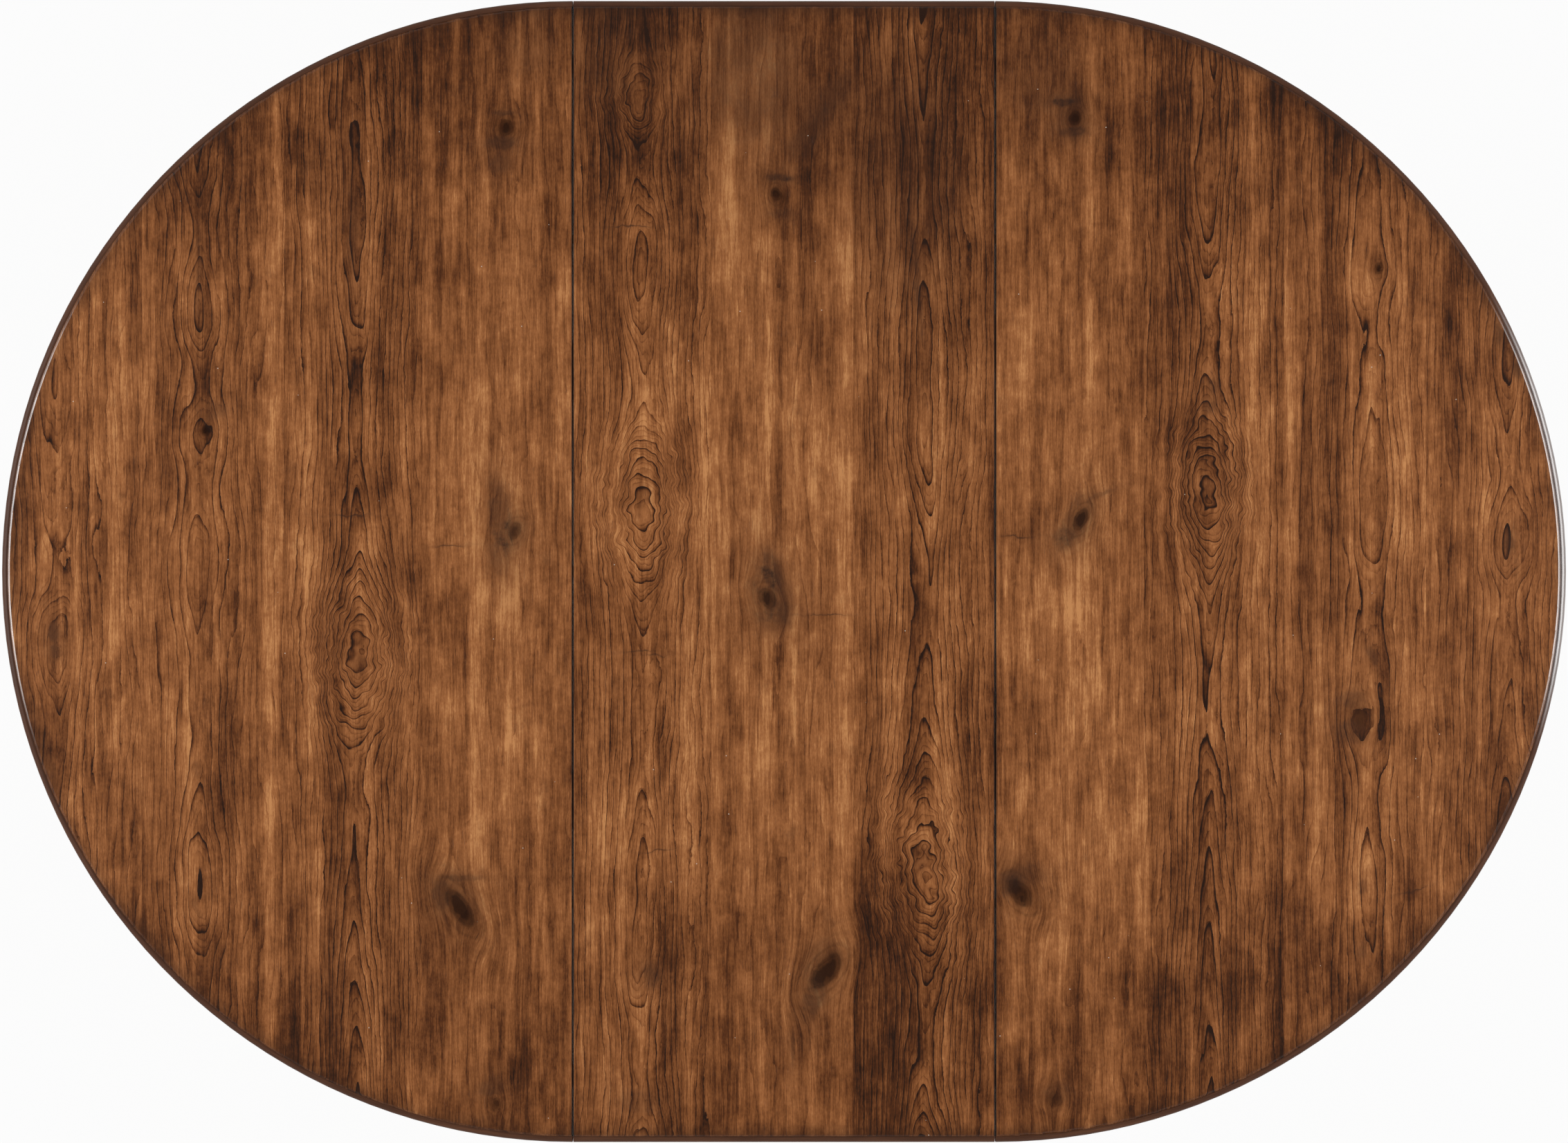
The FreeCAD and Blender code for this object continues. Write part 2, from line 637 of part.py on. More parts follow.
def column():
    """Turned column: flatted hub, ring, vase, collar, cove and capital, with a square core in the hub."""
    ring_top = HUB_TOP + RING_HEIGHT
    vase = [V(radius * VASE_RADIUS, 0, ring_top + height * VASE_HEIGHT)
            for height, radius in VASE_OUTLINE_SHARES]
    neck = vase[-1].x
    ring_flat = RING_RADIUS - RING_HEIGHT / 2
    hub_flat = HUB_RADIUS - HUB_ROUND
    collar_foot = vase[-1].z
    collar_top = collar_foot + COLLAR_BEAD + COLLAR_BEAD
    collar = neck + COLLAR_FILLET
    capital_foot = COLUMN_TOP - CAPITAL_HEIGHT
    lip = CAPITAL_RADIUS - CAPITAL_LIP
    turning = outline_face(
        V(0, 0, HUB_BOTTOM),
        V(hub_flat, 0, HUB_BOTTOM),
        (round_corner(HUB_RADIUS, HUB_BOTTOM, HUB_ROUND, True), V(HUB_RADIUS, 0, HUB_BOTTOM + HUB_ROUND)),
        V(HUB_RADIUS, 0, HUB_TOP - HUB_ROUND),
        (round_corner(HUB_RADIUS, HUB_TOP, HUB_ROUND, False), V(hub_flat, 0, HUB_TOP)),
        V(ring_flat, 0, HUB_TOP),
        (V(RING_RADIUS, 0, HUB_TOP + RING_HEIGHT / 2), V(ring_flat, 0, ring_top)),
        vase[0],
        vase[1:],
        V(collar, 0, collar_foot),
        (V(collar + COLLAR_BEAD, 0, collar_foot + COLLAR_BEAD), V(collar, 0, collar_top)),
        V(neck, 0, collar_top),
        (cove_point(neck, lip, collar_top, capital_foot), V(lip, 0, capital_foot)),
        V(CAPITAL_RADIUS, 0, capital_foot),
        V(CAPITAL_RADIUS, 0, COLUMN_TOP - CAPITAL_LIP),
        (round_corner(CAPITAL_RADIUS, COLUMN_TOP, CAPITAL_LIP, False), V(lip, 0, COLUMN_TOP)),
        V(0, 0, COLUMN_TOP),
        V(0, 0, HUB_BOTTOM),
    ).revolve(ORIGIN, Z_AXIS, FULL_TURN)
    core = box(-CORE_WIDTH / 2, CORE_WIDTH / 2, -CORE_WIDTH / 2, CORE_WIDTH / 2,
               HUB_BOTTOM - OVERRUN, HUB_TOP - CORE_ROOF)
    slab = box(HUB_FLAT, HUB_RADIUS + OVERRUN, -HUB_RADIUS, HUB_RADIUS, HUB_BOTTOM - OVERRUN, HUB_TOP)
    turning = turning.cut(turned(core, leg_angle(0)))
    for i in range(LEG_COUNT):
        turning = turning.cut(turned(slab, leg_angle(i)))
    return turning


def column_drop():
    """Turned drop under the hub, with a square tenon in the hub's core."""
    bead_foot = HUB_BOTTOM - DROP_BEAD - DROP_BEAD
    rim = DROP_RADIUS - DROP_BEAD
    ball_middle = HUB_BOTTOM - DROP_HEIGHT + DROP_BALL
    stem_rise = math.sqrt(DROP_BALL ** 2 - DROP_STEM ** 2)
    stem_foot = ball_middle + stem_rise
    turning = outline_face(
        V(0, 0, HUB_BOTTOM),
        V(rim, 0, HUB_BOTTOM),
        (V(DROP_RADIUS, 0, HUB_BOTTOM - DROP_BEAD), V(rim, 0, bead_foot)),
        (cove_point(DROP_STEM, rim, stem_foot, bead_foot), V(DROP_STEM, 0, stem_foot)),
        (V(DROP_BALL, 0, ball_middle), V(0, 0, ball_middle - DROP_BALL)),
        V(0, 0, HUB_BOTTOM),
    ).revolve(ORIGIN, Z_AXIS, FULL_TURN)
    half = CORE_WIDTH / 2 - TENON_CLEARANCE
    tenon = box(-half, half, -half, half, HUB_BOTTOM - OVERRUN, HUB_BOTTOM + DROP_TENON)
    return turning.fuse(turned(tenon, leg_angle(0))).removeSplitter()


def leg_angle(index):
    """Direction of a leg, starting between the long and the short side of the top."""
    return FULL_TURN * (index + 1 / 2) / LEG_COUNT


def leg_point(share_out, share_up):
    """A point of the leg's outline, from shares of its length and of its height over the glide."""
    length = LEG_REACH - HUB_FLAT
    height = LEG_ROOT_TOP - GLIDE_THICKNESS
    return V(HUB_FLAT + share_out * length, 0, GLIDE_THICKNESS + share_up * height)


def leg():
    """Sabre leg along +X: sawn outline, tapered towards the toe in plan, with rounded edges."""
    upper = [leg_point(*shares) for shares in LEG_UPPER_SHARES]
    lower = [leg_point(*shares) for shares in LEG_LOWER_SHARES] + [V(HUB_FLAT, 0, LEG_ROOT_BOTTOM)]
    outline = outline_face(upper[0], upper[1:], lower[0], lower[1:], upper[0])
    half_root = LEG_THICKNESS / 2
    half_toe = LEG_TOE_THICKNESS / 2
    toe_end = LEG_REACH + OVERRUN
    sawn = moved(outline.extrude(V(0, LEG_THICKNESS, 0)), y=-half_root)
    plan = polygon_face([
        V(HUB_FLAT, -half_root, 0),
        V(toe_end, -half_toe, 0),
        V(toe_end, half_toe, 0),
        V(HUB_FLAT, half_root, 0),
    ]).extrude(V(0, 0, LEG_ROOT_TOP + OVERRUN))
    body = sawn.common(plan)
    sawn_edges = [edge for edge in body.Edges
                  if abs(edge.CenterOfMass.y) > half_toe / 2
                  and min(edge.BoundBox.XLength, edge.BoundBox.ZLength) > LEG_ROUND]
    return body.makeFillet(LEG_ROUND, sawn_edges)


def leg_bolts():
    """Hanger bolts from the hub's core into a leg along +X."""
    start = CORE_WIDTH / 2 - WASHER_THICKNESS - NUT_HEIGHT - NUT_PROUD
    length = HUB_FLAT + LEG_BOLT_BITE - start
    return [Part.makeCylinder(BOLT_RADIUS, length, V(start, 0, z), X_AXIS) for z in leg_bolt_heights()]


def leg_bolt_heights():
    """Heights of the two bolts in a leg's root."""
    return [LEG_ROOT_BOTTOM + share * (LEG_ROOT_TOP - LEG_ROOT_BOTTOM) for share in LEG_BOLT_SHARES]


def on_leg_bolt(shape, inset, z):
    """A shape made on the XY plane, set on a leg bolt at a distance inside the core's wall."""
    copy = shape.copy()
    copy.rotate(ORIGIN, Y_AXIS, QUARTER_TURN)
    return moved(copy, x=CORE_WIDTH / 2 - inset, z=z)


def leg_washers():
    """Washers against the core's wall."""
    hole = Part.makeCylinder(BOLT_RADIUS, WASHER_THICKNESS)
    ring = Part.makeCylinder(WASHER_RADIUS, WASHER_THICKNESS).cut(hole)
    return [on_leg_bolt(ring, WASHER_THICKNESS, z) for z in leg_bolt_heights()]


def leg_nuts():
    """Nuts on the washers."""
    return [on_leg_bolt(nut(), WASHER_THICKNESS + NUT_HEIGHT, z) for z in leg_bolt_heights()]


def glide():
    """Nail-on glide under a toe along +X, with a rounded rim."""
    place = leg_point(GLIDE_SHARE, 0)
    disc = Part.makeCylinder(GLIDE_RADIUS, GLIDE_THICKNESS, V(place.x, 0, 0))
    rim = [edge for edge in disc.Edges if edge.BoundBox.ZMax < GLIDE_CROWN]
    nail_foot = V(place.x, 0, GLIDE_THICKNESS - GLIDE_CROWN)
    nail = Part.makeCylinder(GLIDE_NAIL_RADIUS, GLIDE_NAIL_LENGTH, nail_foot)
    return disc.makeFillet(GLIDE_CROWN, rim).fuse(nail).removeSplitter()


def on_every_leg(shapes):
    """Copies of the shapes at all the legs, as one group."""
    return Part.makeCompound([turned(shape, leg_angle(i)) for i in range(LEG_COUNT) for shape in shapes])


def lock_sheet_plate(x0, x1):
    """Thin plate under the top, with rounded corners."""
    plate = box(x0, x1, -LOCK_PLATE_WIDTH / 2, LOCK_PLATE_WIDTH / 2, UNDERSIDE - LOCK_SHEET, UNDERSIDE)
    upright = [edge for edge in plate.Edges if edge.BoundBox.ZLength > LOCK_SHEET / 2]
    return plate.makeFillet(LOCK_CORNER, upright)


def lock_plate():
    """Plate with the lever's pivot rivet, right of a seam at x = 0."""
    plate = lock_sheet_plate(LOCK_EDGE, LOCK_EDGE + LOCK_PLATE_LENGTH)
    lever_foot = LEVER_TOP - LEVER_SHEET
    head_top = lever_foot - LEVER_GAP
    rivet = Part.makeCylinder(PIVOT_RADIUS, UNDERSIDE - head_top, V(PIVOT_SETBACK, 0, head_top))
    head = Part.makeCone(PIVOT_HEAD_RADIUS, PIVOT_RADIUS, PIVOT_HEAD_HEIGHT,
                         V(PIVOT_SETBACK, 0, head_top), -Z_AXIS)
    return plate.fuse([rivet, head]).removeSplitter()


def keeper():
    """Plate with the pin that the lever hooks over, left of a seam at x = 0."""
    plate = lock_sheet_plate(-LOCK_EDGE - KEEPER_LENGTH, -LOCK_EDGE)
    foot = LEVER_TOP - LEVER_SHEET
    pin = Part.makeCylinder(KEEPER_PIN_RADIUS, UNDERSIDE - foot, V(-KEEPER_PIN_SETBACK, 0, foot))
    return plate.fuse(pin).removeSplitter()


def lever():
    """Lever at rest, unhooked and parallel to the seam: hooked arm, pivot eye and turned-down tail."""
    foot = LEVER_TOP - LEVER_SHEET
    reach = HOOK_RADIUS + KEEPER_PIN_RADIUS + HOOK_CLEARANCE + LEVER_LIP
    half = LEVER_WIDTH / 2
    blank = outline_face(
        V(-reach + half, -half, foot),
        V(LEVER_TAIL, -half, foot),
        V(LEVER_TAIL, half, foot),
        V(-reach + half, half, foot),
        (V(-reach, 0, foot), V(-reach + half, -half, foot)),
    ).extrude(V(0, 0, LEVER_SHEET))
    slot_half = KEEPER_PIN_RADIUS + HOOK_CLEARANCE
    outer = Part.makeCylinder(HOOK_RADIUS + slot_half, LEVER_SHEET, V(0, 0, foot), Z_AXIS, QUARTER_TURN)
    inner = Part.makeCylinder(HOOK_RADIUS - slot_half, LEVER_SHEET, V(0, 0, foot), Z_AXIS, QUARTER_TURN)
    slot = turned(outer.cut(inner), HALF_TURN)
    slot_end = Part.makeCylinder(slot_half, LEVER_SHEET, V(-HOOK_RADIUS, 0, foot))
    eye = Part.makeCylinder(PIVOT_RADIUS + PIVOT_CLEARANCE, LEVER_SHEET, V(0, 0, foot))
    tab = box(LEVER_TAIL - LEVER_SHEET, LEVER_TAIL, -half, half, foot - LEVER_TAB, foot)
    hooked = blank.cut([slot, slot_end, eye]).fuse(tab).removeSplitter()
    return moved(turned(hooked, -QUARTER_TURN), x=PIVOT_SETBACK)


def at_locks(shape, seam_x):
    """The front and the rear copy of a lock piece made for a seam at x = 0."""
    return [moved(shape, x=seam_x, y=-LOCK_Y), moved(shape, x=seam_x, y=LOCK_Y)]


def add_base(nodes):
    """Pedestal and the fixed frame on it."""
    bolts = on_every_leg(leg_bolts())
    glides = on_every_leg([glide()])
    lags = Part.makeCompound([
        moved(lag_screw(), x=sx * LAG_CIRCLE * DIAGONAL, y=sy * LAG_CIRCLE * DIAGONAL)
        for sx in (-1, 1) for sy in (-1, 1)
    ])
    bolt_places = [(sx * BEARER_SPACING / 2, sy * BOLT_SPACING / 2) for sx in (-1, 1) for sy in (-1, 1)]
    frame_bolts = Part.makeCompound([moved(bearer_bolt(), x=x, y=y) for x, y in bolt_places])
    nodes["column"] = column().cut(bolts).cut(lags)
    nodes["column_drop"] = column_drop()
    for i, name in enumerate(("leg_back_right", "leg_back_left", "leg_front_left", "leg_front_right")):
        nodes[name] = turned(leg(), leg_angle(i)).cut(bolts).cut(glides)
    nodes["leg_bolts"] = bolts
    nodes["leg_washers"] = on_every_leg(leg_washers())
    nodes["leg_nuts"] = on_every_leg(leg_nuts())
    nodes["foot_glides"] = glides
    nodes["mounting_plate"] = mounting_plate().cut(lags).cut(frame_bolts)
    nodes["column_lag_screws"] = lags
    nodes["bearer_bolts"] = frame_bolts
    nut_foot = COLUMN_TOP - NUT_HEIGHT
    nodes["bearer_nuts"] = Part.makeCompound([moved(nut(), x=x, y=y, z=nut_foot) for x, y in bolt_places])
    screw_tip = RAIL_BOTTOM + SCREW_BITE
    screw_rows = [sx * BEARER_SPACING / 2 + side * BEARER_SCREW_SPACING / 2
                  for sx in (-1, 1) for side in (-1, 1)]
    rail_screws = Part.makeCompound([
        wood_screw(x, sy * SLIDE_Y, screw_tip) for x in screw_rows for sy in (-1, 1)
    ])
    nodes["bearer_left"] = moved(bearer(), x=-BEARER_SPACING / 2).cut(frame_bolts).cut(rail_screws)
    nodes["bearer_right"] = moved(bearer(), x=BEARER_SPACING / 2).cut(frame_bolts).cut(rail_screws)
    nodes["centre_rail_front"] = moved(centre_rail(), y=-SLIDE_Y).cut(rail_screws)
    nodes["centre_rail_rear"] = moved(centre_rail(), y=SLIDE_Y).cut(rail_screws)
    nodes["centre_rail_screws"] = rail_screws
    nodes["pinion_axles"] = Part.makeCompound([moved(axle(), y=-SLIDE_Y), moved(axle(), y=SLIDE_Y)])
    nodes["pinion_front"] = moved(pinion(), y=-SLIDE_Y)
    nodes["pinion_rear"] = moved(pinion(), y=SLIDE_Y)


def add_halves(nodes):
    """Both half-round tops with edges, aprons, rails and racks. The left half is the right one turned."""
    screw_tip = UNDERSIDE + SCREW_BITE
    places = rail_screw_places()
    screws = [wood_screw(x, y, screw_tip) for x, y in places]
    wells = Part.makeCompound([screw_well(x, y, screw_tip, MOVING_RAIL_BOTTOM) for x, y in places])
    inner_rail = moved(moving_rail().cut(wells), y=-SLIDE_Y)
    outer_rail = turned(inner_rail, HALF_TURN, V(0, -SLIDE_Y, 0))
    inner_rack = moved(rack(), y=-SLIDE_Y)
    outer_rack = turned(inner_rack, HALF_TURN, V(0, -SLIDE_Y, 0))
    inner_screws = [moved(screw, y=-SLIDE_Y) for screw in screws]
    outer_screws = [turned(screw, HALF_TURN, V(0, -SLIDE_Y, 0)) for screw in inner_screws]
    right_screws = Part.makeCompound(inner_screws + [turned(screw, HALF_TURN) for screw in outer_screws])
    board = half_round(panel_section(), SEAM).cut(right_screws).cut(seam_groove(SEAM_MIDDLE))
    right = {
        "edge_moulding": glued_half_round(moulding_section(), SEAM),
        "apron": half_round(apron_section(), SEAM),
        "apron_blocks": half_apron_blocks(),
        "rail_screws": right_screws,
    }
    nodes["right_panel"] = board.cut(pin_holes(SEAM))
    nodes["left_panel"] = turned(board, HALF_TURN).cut(alignment_pins(-SEAM))
    nodes["left_pins"] = alignment_pins(-SEAM)
    for name, shape in right.items():
        nodes["right_" + name] = shape
        nodes["left_" + name] = turned(shape, HALF_TURN)
    nodes["right_rail_front"] = inner_rail
    nodes["left_rail_front"] = outer_rail
    nodes["right_rail_rear"] = turned(outer_rail, HALF_TURN)
    nodes["left_rail_rear"] = turned(inner_rail, HALF_TURN)
    nodes["right_rack_front"] = inner_rack
    nodes["left_rack_front"] = outer_rack
    nodes["right_rack_rear"] = turned(outer_rack, HALF_TURN)
    nodes["left_rack_rear"] = turned(inner_rack, HALF_TURN)


def add_leaf(nodes):
    """The drop-in leaf between the halves."""
    nodes["leaf_panel"] = leaf_board().cut(pin_holes(-LEAF_EDGE)).cut(alignment_pins(LEAF_EDGE))
    nodes["leaf_pins"] = alignment_pins(LEAF_EDGE)
    edge = along_leaf(moulding_section())
    apron = along_leaf(apron_section())
    nodes["leaf_edge_rear"] = edge
    nodes["leaf_edge_front"] = turned(edge, HALF_TURN)
    nodes["leaf_apron_rear"] = apron
    nodes["leaf_apron_front"] = turned(apron, HALF_TURN)
    nodes["leaf_apron_blocks"] = leaf_apron_blocks()


def add_locks(nodes):
    """Leaf locks at both seams: the lever's side is right of the seam, the keeper's side left of it."""
    nodes["right_lock_plates"] = Part.makeCompound(at_locks(lock_plate(), SEAM_MIDDLE))
    nodes["leaf_keepers"] = Part.makeCompound(at_locks(keeper(), SEAM_MIDDLE))
    nodes["leaf_lock_plates"] = Part.makeCompound(at_locks(lock_plate(), -SEAM_MIDDLE))
    nodes["left_keepers"] = Part.makeCompound(at_locks(keeper(), -SEAM_MIDDLE))
    nodes["right_lever_front"], nodes["right_lever_rear"] = at_locks(lever(), SEAM_MIDDLE)
    nodes["leaf_lever_front"], nodes["leaf_lever_rear"] = at_locks(lever(), -SEAM_MIDDLE)


def main():
    """Builds every node and writes one file for each."""
    nodes = {}
    add_base(nodes)
    add_halves(nodes)
    add_leaf(nodes)
    add_locks(nodes)
    os.makedirs("parts", exist_ok=True)
    for name, shape in nodes.items():
        shape.exportStep(os.path.join("parts", name + ".step"))


main()
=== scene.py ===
import json
import math
from collections import namedtuple

import bmesh
import bpy
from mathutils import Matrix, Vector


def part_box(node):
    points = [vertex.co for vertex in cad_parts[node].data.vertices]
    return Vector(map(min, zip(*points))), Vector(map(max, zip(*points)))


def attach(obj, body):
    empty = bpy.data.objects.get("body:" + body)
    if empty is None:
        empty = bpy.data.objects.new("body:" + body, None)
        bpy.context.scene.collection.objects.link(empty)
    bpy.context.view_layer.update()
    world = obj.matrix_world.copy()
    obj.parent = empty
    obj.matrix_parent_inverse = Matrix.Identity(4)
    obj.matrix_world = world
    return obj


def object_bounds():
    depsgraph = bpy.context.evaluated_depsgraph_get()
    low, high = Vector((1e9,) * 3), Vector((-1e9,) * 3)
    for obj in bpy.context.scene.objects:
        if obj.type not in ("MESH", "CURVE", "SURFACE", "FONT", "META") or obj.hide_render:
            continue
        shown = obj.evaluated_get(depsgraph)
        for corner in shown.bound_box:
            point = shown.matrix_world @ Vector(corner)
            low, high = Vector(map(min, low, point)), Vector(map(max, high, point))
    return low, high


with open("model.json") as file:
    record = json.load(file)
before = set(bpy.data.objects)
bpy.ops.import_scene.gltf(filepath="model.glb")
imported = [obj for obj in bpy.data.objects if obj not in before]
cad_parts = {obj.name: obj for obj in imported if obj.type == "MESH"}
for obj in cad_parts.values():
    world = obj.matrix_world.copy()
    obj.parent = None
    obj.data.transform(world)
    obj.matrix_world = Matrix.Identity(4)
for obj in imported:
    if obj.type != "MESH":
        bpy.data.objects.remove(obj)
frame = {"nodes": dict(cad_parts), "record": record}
CAD_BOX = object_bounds()

# Places read from the frame, in metres
LOW, HIGH = CAD_BOX
TOP = HIGH.z
HALF_LENGTH = HIGH.x
HALF_WIDTH = HIGH.y
WIDTH = HIGH.y - LOW.y
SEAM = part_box("right_panel")[0].x
LEAF_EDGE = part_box("leaf_panel")[1].x
MOULDING = HALF_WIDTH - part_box("leaf_panel")[1].y
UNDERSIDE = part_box("right_panel")[0].z

# Camera: straight down, as in the photograph, with the widths in pixels of its frame and of the table
PHOTO_WIDTH = 2266
TABLE_PIXELS = 2263
SENSOR_WIDTH = 36.0
FOCAL_LENGTH = 130.0

# Studio: two large soft lights beyond the table's ends, a surround that darkens overhead, a white floor
SOFTBOX_DISTANCE = 3.5
SOFTBOX_RISE = math.radians(36.0)
SOFTBOX_WIDTH = 3.4
SOFTBOX_HEIGHT = 2.2
SOFTBOX_RADIANCE = 2.5
ZENITH_LEVEL = 0.2
HORIZON_LEVEL = 1.0
SURROUND_STOPS = (0.52, 0.85)
FLOOR_SIZE = 60.0
FLOOR_WHITE_SHARE = 0.92
FLOOR_COLOUR = (236, 236, 236)

# Colours of the top, as 8-bit sRGB values, from dark to light
VENEER_STOPS = (
    (0.0, (38, 19, 9)),
    (0.28, (85, 45, 19)),
    (0.52, (125, 74, 38)),
    (0.76, (159, 100, 57)),
    (1.0, (197, 136, 84)),
)
GLAZE_COLOUR = (46, 25, 14)
KNOT_COLOUR = (30, 11, 3)
# Painted shade of the gaps between the halves and the leaf, laid on the top along the seams
SEAM_SHADE_COLOUR = (18, 21, 23)
BACKING_COLOUR = (150, 112, 76)
SPECK_COLOUR = (214, 200, 184)

# Other finishes
EDGE_STOPS = ((0.0, (38, 21, 14)), (0.5, (82, 51, 35)), (1.0, (122, 80, 54)))
BASE_STOPS = ((0.0, (44, 22, 12)), (0.5, (100, 58, 34)), (1.0, (146, 94, 58)))
BARE_STOPS = ((0.0, (150, 110, 68)), (0.5, (194, 156, 106)), (1.0, (222, 190, 142)))
STEEL_STOPS = ((0.0, (120, 122, 124)), (1.0, (188, 190, 192)))
BRASS_STOPS = ((0.0, (122, 96, 46)), (1.0, (196, 164, 94)))
# Painted shade of the cross recesses in the screw heads
RECESS_SHADE_STOPS = ((0.0, (26, 22, 16)), (1.0, (52, 44, 32)))
NYLON_STOPS = ((0.0, (206, 202, 190)), (1.0, (232, 229, 220)))

# Noise comes in spots of a width across the grain and a length along it. Some of it also sets the tone
# of a surface, by a share of the way from its darkest to its lightest colour.
Spots = namedtuple("Spots", "width length octaves rough tone_share", defaults=(0.0,))
BANDS = Spots(0.02, 0.8, 3.0, 0.5, 0.5)
STREAKS = Spots(0.005, 0.11, 3.0, 0.6, 0.32)
FIBRES = Spots(0.0016, 0.03, 3.0, 0.65, 0.4)
GRIT = Spots(0.001, 0.004, 1.0, 0.5, 0.16)
PATCHES = Spots(0.016, 0.05, 3.0, 0.6, 0.32)
BLOTCHES = Spots(0.07, 0.12, 4.0, 0.62, 0.46)
MOTTLE = Spots(0.012, 0.012, 5.0, 0.68, 0.26)
SMUDGES = Spots(0.018, 0.03, 4.0, 0.6)
PORES = Spots(0.0008, 0.014, 1.0, 0.5)
SWAY = Spots(0.06, 0.3, 2.0, 0.5)
RIPPLE = Spots(0.01, 0.028, 4.0, 0.6)
DRIFT = Spots(0.03, 0.16, 2.0, 0.5)
FADING = Spots(0.014, 0.08, 3.0, 0.5)
WOBBLE = Spots(0.012, 0.012, 3.0, 0.5)
EYE_WAVES = Spots(0.019, 0.019, 1.0, 0.5)
WOOD_BANDS = Spots(0.012, 0.35, 2.0, 0.5, 0.2)
WOOD_STREAKS = Spots(0.0028, 0.09, 3.0, 0.6, 0.25)
WOOD_FIBRES = Spots(0.0008, 0.02, 2.0, 0.6, 0.16)
WOOD_BLOTCHES = Spots(0.04, 0.07, 4.0, 0.6, 0.2)
WOOD_PORES = Spots(0.0006, 0.01, 1.0, 0.5)
BRUSHING = Spots(0.0004, 0.012, 2.0, 0.5, 0.3)
DULL_SPOTS = Spots(0.006, 0.006, 4.0, 0.6, 0.5)
NYLON_MOTTLE = Spots(0.004, 0.004, 4.0, 0.6, 0.6)

# Seeds that set one noise apart from another of the same strip
STRIP_SEED = 7.3
PATCHES_SEED = 1.0
FADING_SEED = 2.0

# Depths of the bumps, the middle of a noise, ramp or height, the cosine of the steepest slope that counts
# as facing up or down, and depths of the grooves that get glaze and painted shade, with the rays that look
# for them
VENEER_BUMP = 0.00012
WOOD_BUMP = 0.00015
METAL_BUMP = 0.00003
NYLON_BUMP = 0.00004
MIDDLE_SHARE = 0.5
FACING_COSINE = 0.5
EDGE_GROOVE = 0.004
APRON_GROOVE = 0.012
TURNED_GROOVE = 0.02
BARE_GROOVE = 0.01
GROOVE_RAYS = 6

# Growth rings of the veneer: how round they are at the pith, how wide and how many rings high a swelling
# of the figure is, how far out the lines stay strong, and how far noise moves them
PITH = 0.015
CREST_SPREAD = 0.042
CREST_HEIGHT = 6.0
LINE_SPREAD = 0.05
SWAY_REACH = 0.014
RIPPLE_REACH = 0.003
DRIFT_RINGS = 1.8

# Lines of the rings: how sharp they are, and how dark beside the darkest
LATE_POWER = 10.0
EARLY_POWER = 3.0
EARLY_SHARE = 0.3
FAINT_RING_SHARE = 0.4
MINOR_COUNT = 3.0
MINOR_POWER = 5.0
MINOR_SHARE = 0.3
FADING_STOPS = (-0.4, 0.2)
FADED_SHARE = 0.35
FAR_LINE_SHARE = 0.45

# Eyes, knots and marks: how far noise moves their outlines, how far they reach in squares of their half
# sizes, how much they push the grain aside, and how dark their parts are
EYE_WOBBLE = 0.015
EYE_PUSH_SHARE = 0.75
EYE_LINE_SHARE = 0.06
KNOT_WOBBLE = 0.0028
KNOT_REACH = 7.0
KNOT_CORE_STOPS = (1.8, 0.3)
KNOT_LINE_RATE = 7.0
KNOT_LINE_STOPS = (0.1, 1.0)
KNOT_LINE_SHARE = 0.36
KNOT_HALO_SHARE = 0.32
KNOT_PUSH_SHARE = 0.8
KNOT_FULL_SHARE = 0.93
MARK_WOBBLE = 0.006
MARK_REACH = 5.5
MARK_CORE_STOPS = (0.06, 0.65)
MARK_CORE_SHARE = 0.66

# What knots and marks keep of their darkness everywhere, and what noise adds to it
Uneven = namedtuple("Uneven", "level_share mottle_share fibres_share")
KNOT_UNEVEN = Uneven(0.82, 0.4, 0.6)
MARK_UNEVEN = Uneven(0.85, 0.9, 0.4)

# Finish of the veneer: its tone before noise, how dark its rim, smudges and pores are, and its gloss
VENEER_TONE = 0.635
RIM_SHARE = 0.5
SMUDGE_STOPS = (0.14, 0.7)
SMUDGE_SHARE = 0.4
GLAZE_FULL_SHARE = 0.94
PORE_STOPS = (0.3, 0.6)
PORE_SHARE = 0.5
SPECK_SHARE = 0.7
VENEER_ROUGHNESS = 0.42
MOTTLE_ROUGHNESS = 0.08
MARK_ROUGHNESS = 0.1
KNOT_POLISH = 0.14
RING_DEPTH_SHARE = 0.3
PORE_DEPTH_SHARE = 0.5
FIBRE_DEPTH_SHARE = 0.15
VENEER_SPECULAR = 0.18

# Finish of solid wood, and the slope of the grain in the legs
# Glaze and painted shade in grooves and corners
GROOVE_GLAZE_AND_SHADE_STOPS = (0.35, 0.95)
GROOVE_GLAZE_AND_SHADE_SHARE = 0.7
WOOD_PORE_STOPS = (0.34, 0.6)
WOOD_PORE_SHARE = 0.45
WOOD_ROUGHNESS = 0.42
BLOTCH_ROUGHNESS = 0.08
STREAK_DEPTH_SHARE = 0.3
WOOD_FIBRE_DEPTH_SHARE = 0.2
EDGE_FINISH = {"roughness": 0.5, "specular_ior_level": 0.15}
BARE_FINISH = {"roughness": 0.6, "contrast": 0.7}
LEG_SLOPE = math.radians(45.0)

# Finish of the metal and nylon
STEEL_ROUGHNESS = 0.38
BRASS_ROUGHNESS = 0.32
SCREW_ROUGHNESS = 0.3
RECESS_ROUGHNESS = 0.6
DULL_ROUGHNESS = 0.12
NYLON_ROUGHNESS = 0.45
NYLON_MOTTLE_ROUGHNESS = 0.1
NYLON_SUBSURFACE = 0.1
